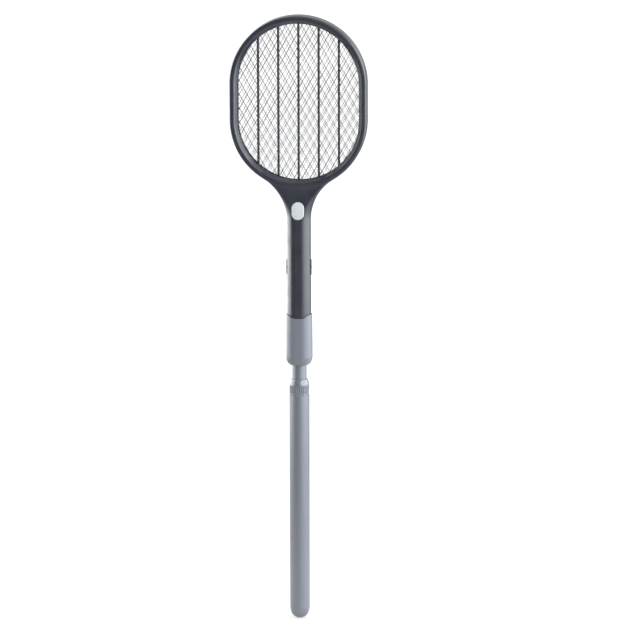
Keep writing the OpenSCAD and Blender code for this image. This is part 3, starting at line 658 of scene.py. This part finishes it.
def moulded(name, colour, rough, grain=900.0, spread=0.06, **sockets):
    """Moulded plastic: slightly uneven colour and gloss, spark-eroded grain and faint flow waviness."""
    look = Look(name, rough, **sockets)
    cloud = look.noise(26.0, 4.0)
    speck = look.noise(grain * 1.7, 2.0)
    tone = look.mix(look.spread(cloud, 0.0, 1.0), shade(colour, 1 - spread), shade(colour, 1 + spread))
    tone = look.mix(look.spread(speck, 0.0, 0.35, 0.45, 0.75), tone, shade(colour, 1.35))
    look.set("Base Color", tone)
    look.set("Roughness", look.spread(look.noise(60.0, 2.0), rough - 0.07, rough + 0.08, 0.2, 0.8))
    look.bump(look.noise(grain, 2.0, 0.6), 0.55, 0.000012)
    look.bump(look.noise(38.0, 1.0), 0.25, 0.00004)
    return look


def drawn_metal(name, colour, rough, metal, streak):
    """Drawn or coated tube: fine lengthwise streaks, a few soft rubs and faint speckle."""
    look = Look(name, rough, metal)
    drawn = look.noise(900.0, 3.0, 0.6, look.mapped(Scale=(1.0, 1.0, 0.035)))
    rub = look.noise(60.0, 4.0, 0.6, look.mapped(Scale=(1.0, 1.0, 0.12)))
    tone = look.mix(look.spread(drawn, 0.0, 1.0), shade(colour, 1 - streak), shade(colour, 1 + streak))
    tone = look.mix(look.spread(rub, 0.0, 0.4, 0.55, 0.8), tone, shade(colour, 1.12))
    look.set("Base Color", tone)
    look.set("Roughness", look.spread(rub, rough - 0.07, rough + 0.1, 0.2, 0.8))
    look.bump(drawn, 0.4, 0.000012)
    look.bump(look.noise(1400.0, 1.0), 0.3, 0.00001)
    return look


def bright_metal(name, colour, rough, scale=400.0, tarnish=0.25):
    """Bare metal with small scratches and a patchy tarnish."""
    look = Look(name, rough, 1.0)
    patch = look.noise(scale * 0.25, 5.0)
    look.set("Base Color", look.mix(look.spread(patch, 0.0, 1.0), shade(colour, 1 - tarnish), colour))
    look.set("Roughness", look.spread(look.noise(scale, 4.0), rough - 0.08, rough + 0.12))
    look.bump(look.noise(scale * 3, 3.0, 0.7), 0.4, 0.000015)
    return look


def board_laminate():
    """Green laminate with its glass weave and copper tracks under the mask."""
    look = Look("board_laminate", 0.38)
    weave = look.math("MULTIPLY", look.wave(700.0, "X"), look.wave(700.0, "Z"))
    tracks = look.node("ShaderNodeTexBrick", {
        "Scale": 230.0, "Mortar Size": 0.05, "Vector": look.mapped(Rotation=(math.pi / 2, 0, 0))
    }).outputs["Fac"]
    base = look.mix(look.spread(weave, 0.0, 1.0, 0.0, 0.6), srgb(26, 84, 48), srgb(34, 100, 58))
    look.set("Base Color", look.mix(tracks, base, srgb(70, 140, 84)))
    look.bump(weave, 0.3, 0.00002)
    look.bump(tracks, 0.5, 0.00003)
    return look


def component_amber():
    """Amber tape and lacquer over the turns of a winding."""
    look = Look("component_amber", 0.4)
    turns = look.wave(900.0)
    look.set("Base Color", look.mix(look.spread(turns, 0.0, 1.0, 0.1, 0.9), srgb(150, 98, 30),
                                    srgb(206, 152, 60)))
    look.set("Roughness", look.spread(look.noise(300.0), 0.34, 0.5))
    look.bump(turns, 0.5, 0.00008)
    return look


def led_lens():
    look = Look("led_lens", 0.12, IOR=1.5, Transmission_Weight=0.7)
    look.set("Base Color", look.mix(look.spread(look.noise(500.0), 0.0, 1.0), srgb(236, 240, 244),
                                    srgb(250, 252, 255)))
    look.bump(look.noise(700.0), 0.15, 0.00002)
    return look


def cell_jacket():
    """Batteries: a plain blue film with a grey band, and bare metal at both ends."""
    look = Look("cell_jacket", 0.3)
    z = look.node("ShaderNodeSeparateXYZ", {"Vector": look.place}).outputs["Z"]

    def step(at, width, low=0.0, high=1.0):
        return look.spread(z, low, high, at * MM, (at + width) * MM)

    ends = look.math("ADD", step(CELL_END - 1.6, 0.1), step(CELL_Z + 1.5, 0.1, 1.0, 0.0))
    film = look.mix(step(CELL_END - 15.5, 0.2), srgb(38, 62, 96), srgb(186, 190, 194))
    film = look.mix(look.spread(look.noise(80.0, 4.0), 0.0, 0.3), film, srgb(70, 84, 104))
    look.set("Base Color", look.mix(ends, film, srgb(196, 197, 198)))
    look.set("Metallic", ends)
    look.bump(look.noise(120.0, 2.0), 0.2, 0.00006)
    return look


def make_looks():
    made = [
        moulded("charcoal_shell", srgb(30, 33, 44), 0.34, spread=0.05, Specular_IOR_Level=0.9),
        moulded("charcoal_ribs", srgb(40, 42, 48), 0.45, spread=0.05),
        moulded("slider_charcoal", srgb(52, 55, 64), 0.42, grain=1300.0),
        moulded("button_grey", srgb(189, 192, 193), 0.34, spread=0.02),
        moulded("socket_grey", srgb(110, 114, 122), 0.32, spread=0.03),
        moulded("nut_grey", srgb(98, 103, 112), 0.19, spread=0.03, Specular_IOR_Level=1.0),
        drawn_metal("pole_grey", srgb(120, 123, 130), 0.37, 0.4, 0.03),
        drawn_metal("neck_tube_grey", srgb(118, 122, 128), 0.34, 0.4, 0.05),
        moulded("inner_plastic", srgb(214, 215, 210), 0.42, spread=0.03),
        bright_metal("grid_wire", srgb(104, 106, 110), 0.3),
        bright_metal("screw_steel", srgb(172, 173, 175), 0.34),
        bright_metal("contact_plate", srgb(205, 203, 196), 0.28, 250.0, 0.15),
        moulded("lead_insulation", srgb(150, 34, 30), 0.4, grain=1600.0),
        moulded("component_black", srgb(34, 34, 36), 0.45, grain=2200.0, spread=0.12),
        board_laminate(), component_amber(), led_lens(), cell_jacket(),
    ]
    return {look.name: look.mat for look in made}


def piece(obj, body, slot, replaced):
    """Gives a mesh its look and its body, and hides the CAD node it stands for."""
    obj.data.materials.clear()
    obj.data.materials.append(looks[slot])
    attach(obj, body)
    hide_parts(replaced)


# ---- pole ----

def make_outer_tube():
    profile = rounded(
        [(TUBE_BORE, 0.0), (TUBE_R - 0.08, 0.0), (TUBE_R, 0.08), (TUBE_R, TUBE_TOP), (TUBE_BORE, TUBE_TOP)],
        [0.2, 0.05, 0.1, 0.5, 0.3])
    return lathe("tube_lower", split_long(profile), 144)


def make_end_cap():
    """Domed cap with a plug inside the tube and a shadow gap where the two meet."""
    steps, gap_end = 40, -0.5
    dome = []
    for k in range(1, steps):
        u = math.sin(math.radians(90 * k / steps))
        dome.append((TUBE_R * (1 - u ** CAP_POWER) ** (1 / CAP_POWER), -CAP_H * u))
    dome.append((0.0, -CAP_H))
    plug = [(0.0, 9.0), (11.0, 9.0), (11.6, 8.8), (11.9, 8.4), (11.9, 0.3), (11.9, -0.06)]
    gap = [(TUBE_R - 0.12, -0.06), (TUBE_R - 0.03, -0.09), (TUBE_R, -0.16)]
    return weld(lathe("tube_end", plug + gap + [p for p in dome if p[1] < gap_end], 144))


def make_neck_tube():
    low, high = level("inner_tube", False), level("inner_tube", True)
    profile = rounded(
        [(NECK_TUBE_BORE, low), (NECK_TUBE_R, low), (NECK_TUBE_R, high), (NECK_TUBE_BORE, high)], [0.2] * 4)
    return lathe("tube_upper", split_long(profile), 112)


def make_nut():
    """Fluted ring with a soft shoulder above and a shadow gap where it meets the tube."""
    grip_low = NUT_Z + NUT_LAND
    grip_top = grip_low + NUT_GRIP
    dome_h = NUT_TOP - grip_top
    foot = [(12.75, 0.0), (13.05, 0.02), (13.15, 0.12), (13.15, 0.55), (13.25, 0.72), (NUT_R - 0.15, 0.8),
            (NUT_R, NUT_LAND)]
    roof = [(NUT_TOP_R - 0.06, -0.1), (NUT_TOP_R - 0.3, 0.0), (10.65, 0.0), (10.4, -0.1), (NUT_BORE_R, -0.3),
            (NUT_BORE_R, -NUT_ROOF + 0.2), (10.5, -NUT_ROOF), (12.0, -NUT_ROOF), (12.2, -NUT_ROOF - 0.2)]
    throat = [(12.2, 1.7), (12.4, 1.5), (12.7, 1.4), (12.75, 1.2)]
    outline = [(r, NUT_Z + h) for r, h in foot]
    outline += [(NUT_R, z) for z in np.linspace(NUT_Z + 1.2, grip_top, 48)]
    outline += [(NUT_R - (NUT_R - NUT_TOP_R) * t * t, grip_top + dome_h * t)
                for t in np.linspace(0, 0.96, 40)[1:]]
    outline += [(r, NUT_TOP + h) for r, h in roof]
    outline += [(r, NUT_Z + h) for r, h in throat]

    columns = NUT_FLUTES * 14
    angle = np.arange(columns) * 2 * math.pi / columns
    flute = NUT_FLUTE * ease(np.clip(0.62 + 0.75 * np.cos(angle * NUT_FLUTES), 0, 1))
    inner_r, run_in, run_out, past_grip = 13, 1.1, 5.0, 3.5
    rows = []
    for r, z in outline:
        ends = min(max((z - grip_low) / run_in, 0), 1) * min(max((grip_top + past_grip - z) / run_out, 0), 1)
        rows.append(circle(r - flute * (ease(ends) if r > inner_r else 0), columns, z))
    return build("lock_nut_grip", *sheet(rows))


# ---- socket ----

def make_socket():
    """Cup with a dipped rim for the handle, on a rounded foot with the neck tube's bore."""
    bore, seat = NECK_TUBE_R + 0.1, SOCKET_GAP
    sections = []

    def add(w, d, r, z, share=0.0):
        """share says how far the row follows the dip of the rim."""
        p = rounded_rect(w, d, r)
        t = np.clip((RIM_TOP - np.abs(p[:, 0])) / (RIM_TOP - RIM_FLAT), 0, 1)
        dip = RIM_DIP * (0.35 * t + 0.65 * ease(t))
        sections.append(np.column_stack([p, z - dip * share]))

    def add_round(r, z):
        add(r, r, r - 0.01, z)

    def add_wall(inset, z, share):
        add(SOCKET_W - inset, SOCKET_D - inset, SOCKET_R - inset, z, share)

    def add_seat(inset, z, share=0.0):
        grow = seat - inset
        add(HALF_W + grow, HALF_D + grow, CORNER + grow, z, share)

    add_round(bore, SOCKET_Z + 0.3)
    add_round(bore + 0.2, SOCKET_Z)
    foot, foot_corner = SOCKET_FOOT_R - 0.5, SOCKET_FOOT_R - 0.7
    for k in range(1, 25):
        a = math.radians(90 * k / 24)
        w, d, r = (size + (full + SOCKET_FLARE - size) * math.sin(a)
                   for size, full in ((foot, SOCKET_W), (foot, SOCKET_D), (foot_corner, SOCKET_R)))
        add(w, d, r, SOCKET_Z + SOCKET_SHOULDER * (1 - math.cos(a)))
    wall_low, wall_top = SOCKET_Z + SOCKET_SHOULDER, RIM_Z - RIM_ROUND
    for k in range(1, 41):
        t = k / 40
        add_wall(-SOCKET_FLARE * (1 - t), wall_low + (wall_top - wall_low) * t, t)
    for inset, up in ((0.07, 0.2), (0.2, 0.36), (0.42, 0.47), (0.675, RIM_ROUND), (0.95, 0.47), (1.15, 0.36),
                      (1.28, 0.2)):
        add_wall(inset, wall_top + up, 1.0)
    for k in range(20):
        t = k / 20
        add_seat(0.0, wall_top - (wall_top - SOCKET_FLOOR - 0.5) * t, 1 - t)
    for inset, up in ((0.0, 0.4), (0.1, 0.1), (0.4, 0.0)):
        add_seat(inset, SOCKET_FLOOR + up)
    add_round(bore + 0.3, SOCKET_FLOOR)
    add_round(bore, SOCKET_FLOOR - 0.3)
    obj = weld(build("socket_cup", *sheet(sections)))

    screw_r, screw_z, inside, outside = 2.7, SOCKET_Z + 6.4, 12.8, 30.0
    hole = [(0.0, inside), (screw_r, inside), (screw_r, outside), (0.0, outside)]
    cut(obj, turned_tool(hole, 0, screw_z, 32))
    sharpen(obj, 50)
    return obj


# ---- racket ----

def screw_tool(x, z, face, wall, shank, head, mouth, lead_in):
    """Clearance for a sunk screw driven from the rear: shank, head and a chamfered mouth."""
    head_y, reach = face - 2.4 - wall, 20.0
    return turned_tool([(0, -1.0), (shank, -1.0), (shank, head_y), (head, head_y), (head, face - lead_in[0]),
                        (mouth, face + lead_in[1]), (mouth, reach), (0, reach)], x, z)


def make_shell(side):
    coarse, fine, reach, middle = 0.95, 0.5, 96.4, 13
    cover_end, thumb_pads, button = (417, 424), (467, 500), (549, 581)
    spans, low = [], HANDLE_Z - 1.5
    for start, end in (cover_end, thumb_pads, button):
        spans += [(low, start, coarse), (start, end, fine)]
        low = end
    zs = ticks(*spans, (low, HEAD_TOP + HEAD_R + 1.6, coarse))
    xs = ticks((-reach, -middle, coarse), (-middle, middle, fine), (middle, reach, coarse))

    def field(x, y, z):
        return shell(x, y, z, side)

    if side < 0:
        return surface("racket_front", field, xs, ticks((-15.2, -0.8, 0.6), (-0.8, 0.4, 0.2)), zs)
    obj = surface("racket_rear", field, xs, ticks((-0.4, 0.8, 0.2), (0.8, 15.2, 0.6)), zs)
    for x, z in HANDLE_SCREWS:
        face = float(neck_size(np.array(z))[1])
        cut(obj, screw_tool(x, z, face, WALL, shank=1.4, head=2.4, mouth=2.9, lead_in=(0.3, 0.2)))
    for x, z in RING_SCREWS:
        cut(obj, screw_tool(x, z, RING_D, 0.0, shank=1.1, head=1.9, mouth=2.3, lead_in=(0.25, 0.15)))
    sharpen(obj, 52)
    return obj


def flat_section(u0, u1, v0, v1, edge, support, steps=5):
    """A rectangle with rounded corners, from its bounds."""
    return rounded([(u0, v0), (u1, v0), (u1, v1), (u0, v1)], [edge] * 4, support, steps)


def band(name, r_in, r_out, y, t, edge):
    """Flat ring that follows the head's outline, with rounded edges."""
    rows = []
    for r, dy in flat_section(r_in, r_out, y - t / 2, y + t / 2, edge, 0.25, 3):
        p = head_path(r)
        rows.append(np.column_stack([p[:, 0], np.full(len(p), dy), p[:, 1]]))
    return weld(build(name, *sheet(rows)))


def prism(points, n):
    """Side faces between rings of n points each, and a flat face on both ends."""
    faces = []
    for k in range(len(points) // n - 1):
        for j in range(n):
            a, b = k * n + j, k * n + (j + 1) % n
            faces.append((a, b, b + n, a + n))
    return faces + [tuple(range(n - 1, -1, -1)), tuple(range(len(points) - n, len(points)))]


def bar(x, z0, z1, y, w, t, edge):
    """Upright bar with rounded long edges."""
    section = flat_section(-w / 2, w / 2, -t / 2, t / 2, edge, 0.2)
    points = [(x + u, y + v, z) for z in (z0, z1) for u, v in section]
    return build("bar", points, prism(points, len(section)))


def make_ribs(name, y):
    """A half's frame for the grids: a flat ring and five upright bars across it."""
    thick, rim, bars, pitch, bar_w = 3.2, 3.6, 5, 27.9, 2.6
    obj = band(name, STACK_R - rim, STACK_R, y, thick, 0.45)
    middle = STACK_R - rim / 2
    for k in range(bars):
        x = (k - 2) * pitch
        reach = math.sqrt(middle ** 2 - x ** 2)
        cut(obj, bar(x, HEAD_Z - reach, HEAD_TOP + reach, y, bar_w, thick, 0.5), "UNION")
    sharpen(obj, 40)
    return obj


def make_grid(name, y, tab_x=0.0, shift=(0, 0), warp=(0, 0, 0, 0)):
    """Crossing round wires, held by a solid edge with a tab.

    shift (x, z) and warp (rows x and z) put the lattice a little off the centre grid's, so that the
    three drift in and out of line across the head."""
    diamond_w, diamond_h = 10.9, 19.2
    edge_w, edge_t, wire_r, sides, rings_a_side = 2.6, 0.6, 0.29, 6, 4
    weave = 0.13  # how far the wires of one way lie in front of the others, each side of the middle
    tab_w, tab_t, tab_end, tab_overlap = 3.0, 0.5, 7, 1.3
    slant = math.atan2(diamond_h, diamond_w)
    step = diamond_w * math.sin(slant)
    side = math.hypot(diamond_w, diamond_h) / 2
    limit = STACK_R - edge_w / 2
    # the camera sees the front and rear grids shifted against the centre one, and this undoes it
    view_x, view_z = 0.11, 0.21
    shift_x = shift[0] - view_x * y
    shift_z = shift[1] - view_z * y + (HEAD_Z + HEAD_TOP) / 2
    rows = int(math.ceil((HEAD_R + HEAD_LEN) / step))
    points, faces = [], []

    def place(way, row, t, across=0.0):
        """Where a wire is at t along its length, and across mm beside its middle line."""
        dx, dz = math.cos(way * slant), math.sin(way * slant)
        px, pz = -dz * (row * step + across) + dx * t, dx * (row * step + across) + dz * t
        return px + warp[0] * px + warp[1] * pz + shift_x, pz + warp[2] * px + warp[3] * pz + shift_z

    def inside(px, pz):
        return np.hypot(px, pz - np.clip(pz, HEAD_Z, HEAD_TOP)) < limit

    for way in (-1, 1):
        for row in range(-rows, rows + 1):
            t = np.linspace(-150, 150, 3001)
            hit = t[inside(*place(way, row, t))]
            if len(hit) < 30:
                continue
            wire = []
            for s in np.linspace(hit[0], hit[-1], max(int((hit[-1] - hit[0]) / side * rings_a_side), 2) + 1):
                for j in range(sides):
                    a = 2 * math.pi * j / sides
                    px, pz = place(way, row, s, wire_r * math.cos(a))
                    wire.append((px, y + way * weave + wire_r * math.sin(a), pz))
            faces += [tuple(len(points) + i for i in face) for face in prism(wire, sides)]
            points += wire
    obj = build(name, points, faces)
    edge = band("edge", STACK_R - edge_w, STACK_R, y, edge_t, 0.2)
    foot = HEAD_Z - STACK_R
    return join([obj, edge, bar(tab_x, foot - tab_end, foot + tab_overlap, y, tab_w, tab_t, 0.15)])


# ---- controls ----

def button_face(x, z):
    """Y of the button's domed face."""
    lean = neck_size(np.array([BUTTON_Z - 1.0, BUTTON_Z + 1.0]))[1]
    tilt = math.atan((lean[0] - lean[1]) / 2)
    proud, radius = 1.0, 90.0
    face = -float(neck_size(np.array(BUTTON_Z))[1]) - proud
    cy, cz = face + radius * math.cos(tilt), BUTTON_Z - radius * math.sin(tilt)
    return cy - np.sqrt(radius ** 2 - x ** 2 - (z - cz) ** 2)


def make_button():
    """Oval cap with a domed, round-edged face, a flange behind the shell and a stem inside."""
    edge = 0.9
    rows = []

    def add(p, y):
        rows.append(np.column_stack([p[:, 0], np.full(len(p), y), BUTTON_Z + p[:, 1]]))

    for inset in (BUTTON_W, 8.0, 7.0, 6.0, 5.0, 4.0, 3.0, 2.2, 1.6, 1.2, 0.9, 0.7, 0.5, 0.34, 0.2, 0.1, 0.03,
                  0.0):
        p = oval_ring(max(BUTTON_W - inset, 0.0), BUTTON_H - inset)
        drop = edge - math.sqrt(max(edge ** 2 - max(edge - inset, 0) ** 2, 0))
        add(p, button_face(p[:, 0], BUTTON_Z + p[:, 1]) + drop)
    flange = ((0.0, -11.5), (0.0, -9.4), (0.1, -9.3), (1.4, -9.3), (1.5, -9.2), (1.5, -8.2), (1.4, -8.1),
              (-1.4, -8.1), (-1.5, -8.2))
    for grow, y in flange:
        add(oval_ring(BUTTON_W + grow, BUTTON_H + grow), y)
    thick, wall = 4, 1.5
    roof = float(button_face(np.array(0.0), np.array(BUTTON_Z))) + thick
    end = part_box("trigger_button")[1].y / MM
    add(oval_ring(BUTTON_W - wall, BUTTON_H - wall), roof)
    for stem_r, y in ((1.7, roof), (1.6, roof + 0.2), (1.6, end - 0.2), (1.4, end), (0.0, end)):
        add(oval_ring(stem_r, stem_r), y)
    return weld(build("trigger_cap", *sheet(rows, False)))


SPRING_WIRE = 0.33
SPRING_SEAT = 0.4  # from the CAD spring's ends to the middle of the wire


def make_spring():
    """The button's coil, and the Y of its foot and head."""
    low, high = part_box("button_spring")
    y0, y1 = high.y / MM - SPRING_SEAT, low.y / MM + SPRING_SEAT
    turns, per_turn, sides, coil_r = 5, 28, 10, 5.2
    total = turns * per_turn
    points = []
    for k in range(total + 1):
        a = 2 * math.pi * k / per_turn
        t = k / total
        y = y0 + (y1 - y0) * (t + 0.035 * math.sin(2 * math.pi * t))
        for j in range(sides):
            b = 2 * math.pi * j / sides
            r = coil_r + SPRING_WIRE * math.cos(b)
            points.append((r * math.cos(a), y + SPRING_WIRE * math.sin(b), BUTTON_Z + r * math.sin(a)))
    return weld(build("trigger_coil", points, prism(points, sides))), y0, y1


def make_slider(side, name):
    xs = ticks((12.0, 18.4, 0.3))
    return surface(name, lambda x, y, z: slider_field(x, y, z, side), xs if side > 0 else -xs[::-1],
                   ticks((-4.6, 4.6, 0.3)), ticks((SLIDER_Z - 12, SLIDER_Z + 12, 0.3)))


def make_cover():
    return surface("battery_door", cover_field, ticks((-11.6, 11.6, 0.45)), ticks((5.0, 14.6, 0.4)),
                   ticks((COVER[0] - 0.6, COVER[1] + 0.6, 0.4)))


# ---- studio, in metres ----

def floor_finish():
    """Grey that takes the object's shadow, and a glow that makes the floor white to the lens."""
    mat = bpy.data.materials.new("floor")
    mat.use_nodes = True
    mat.node_tree.nodes.clear()
    floor = Nodes(mat.node_tree)
    ray = floor.node("ShaderNodeLightPath").outputs
    away = floor.vector("LENGTH", floor.node("ShaderNodeTexCoord").outputs["Object"])
    # the glow grows with distance, as the lamps' light falls off
    seen = floor.math("MAXIMUM", ray["Is Camera Ray"], ray["Is Transmission Ray"])
    white = floor.math("MULTIPLY", seen, floor.spread(away, 0.58, 0.95, 0.1, 2.2))
    # gloss near the foot shows a white floor, and gloss further up a darker room
    near = floor.math("MULTIPLY", floor.spread(away, 0.9, 0.0, 0.15, 0.9), ray["Is Glossy Ray"])
    glow = floor.node("ShaderNodeEmission", {"Strength": floor.math("ADD", white, near)})
    grey = floor.node("ShaderNodeBsdfDiffuse", {"Color": (0.3, 0.3, 0.3, 1.0)})
    both = floor.node("ShaderNodeAddShader", {0: grey.outputs[0], 1: glow.outputs[0]})
    floor.node("ShaderNodeOutputMaterial", {"Surface": both.outputs[0]})
    return mat


def make_world():
    """White to the lens. To everything else a soft room, darkest towards the front left."""
    world = bpy.data.worlds.new("studio")
    bpy.context.scene.world = world
    world.use_nodes = True
    room = Nodes(world.node_tree)
    side = room.vector("DOT_PRODUCT", room.node("ShaderNodeTexCoord").outputs["Generated"], (0.5, 0.866, 0.0))
    seen = room.node("ShaderNodeLightPath").outputs["Is Camera Ray"]
    tone = room.mix(seen, room.spread(side, 0.13, 0.85, -0.9, 0.6), (1, 1, 1, 1))
    room.feed(room.tree.nodes["Background"].inputs["Color"], tone)


def make_lamp(name, place, aim, width, height, power, tint=(1, 1, 1)):
    data = bpy.data.lights.new(name, "AREA")
    data.shape = "RECTANGLE"
    data.size, data.size_y = width, height
    data.energy = power
    data.color = tint
    obj = bpy.data.objects.new(name, data)
    bpy.context.scene.collection.objects.link(obj)
    obj.location = place
    obj.rotation_mode = "QUATERNION"
    obj.rotation_quaternion = (Vector(aim) - Vector(place)).to_track_quat("-Z", "Y")
    obj.visible_camera = False


NEUTRAL, COOL, COOLER = (1, 1, 1), (0.93, 0.96, 1.0), (0.88, 0.94, 1.0)
# Upright lights: azimuth seen from above and from the front, distance, half the angle that they
# fill, heights of their lower and upper ends over the floor, radiance and tint
STANDING_LAMPS = {
    "lamp_right": (80.0, 1.3, 50.0, 0.34, 1.7, 4.4, COOL),
    "lamp_right_low": (82.0, 1.3, 46.0, 0.0, 0.34, 3.3, COOL),
    "lamp_left": (-97.0, 1.2, 35.0, 0.45, 1.7, 3.6, NEUTRAL),
    "lamp_left_mid": (-98.0, 1.2, 33.0, 0.14, 0.45, 5.1, NEUTRAL),
    "lamp_left_low": (-98.0, 1.2, 33.0, 0.0, 0.14, 1.6, NEUTRAL),
    "lamp_fill": (24.0, 2.0, 17.0, 0.0, 1.9, 1.2, COOLER),
    "lamp_rim": (-142.0, 1.3, 14.0, 0.0, 1.7, 3.0, NEUTRAL),
}


def make_studio():
    floor_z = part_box("end_cap")[0].z - 0.0004
    bpy.ops.mesh.primitive_circle_add(vertices=96, radius=14, fill_type="NGON", location=(0, 0, floor_z))
    floor = bpy.context.object
    floor.name = "floor"
    floor.data.materials.append(floor_finish())
    make_world()
    for name, (azimuth, distance, half_angle, low, high, radiance, tint) in STANDING_LAMPS.items():
        a = math.radians(azimuth)
        width = 2 * distance * math.tan(math.radians(half_angle))
        height, z = high - low, floor_z + (low + high) / 2
        make_lamp(name, (distance * math.sin(a), -distance * math.cos(a), z), (0, 0, z), width, height,
                  radiance * math.pi * width * height, tint)
    make_lamp("lamp_top", (0.2, -0.5, 2.4), (0, 0, 0.5), 1.6, 1.6, 11)


# ---- the object ----

make_camera()
looks = make_looks()

piece(make_outer_tube(), "pole", "pole_grey", "outer_tube")
piece(make_end_cap(), "pole", "pole_grey", "end_cap")
piece(make_nut(), "nut", "nut_grey", "lock_nut")
piece(make_neck_tube(), "extension", "neck_tube_grey", "inner_tube")
piece(make_socket(), "extension", "socket_grey", "socket")
piece(make_shell(-1), "racket", "charcoal_shell", "front_shell")
piece(make_shell(1), "racket", "charcoal_shell", "rear_shell")
piece(make_ribs("ribs_front", -2.0), "racket", "charcoal_ribs", "front_rib_frame")
piece(make_ribs("ribs_rear", 2.0), "racket", "charcoal_ribs", "rear_rib_frame")
piece(make_grid("mesh_front", -4.0, -5.4, (-3.7, -0.9), (0.004, -0.013, -0.009, 0.020)),
      "racket", "grid_wire", "front_grid")
piece(make_grid("mesh_centre", 0.0), "racket", "grid_wire", "centre_grid")
piece(make_grid("mesh_rear", 4.0, 5.4, (-0.1, -1.9), (0.003, -0.011, -0.011, 0.023)),
      "racket", "grid_wire", "rear_grid")
piece(make_button(), "button", "button_grey", "trigger_button")
spring, spring_foot, spring_head = make_spring()
piece(spring, "racket", "screw_steel", "button_spring")
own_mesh(spring)
piece(make_slider(-1, "thumb_power"), "power_thumb", "slider_charcoal", "power_slider")
piece(make_slider(1, "thumb_light"), "light_thumb", "slider_charcoal", "light_slider")
piece(make_cover(), "cover", "charcoal_shell", "battery_cover")

# CAD nodes that stay as they are and only get a finish
CARRIED = {
    "inner_plastic": ("split_sleeve", "guide_bush"),
    "screw_steel": ("socket_screw", "handle_screws", "ring_screws"),
    "lead_insulation": ("grid_leads",),
    "board_laminate": ("circuit_board",),
    "component_amber": ("transformer", "capacitor"),
    "component_black": ("diodes", "transistor", "trigger_switch", "power_switch", "light_switch"),
    "led_lens": ("light_led",),
    "cell_jacket": ("battery_cells",),
    "contact_plate": ("battery_contacts",),
}
for look, carried in CARRIED.items():
    for node in carried:
        for material_slot in nodes[node].material_slots:
            material_slot.material = looks[look]

make_studio()
bpy.context.scene.view_settings.view_transform = "Standard"
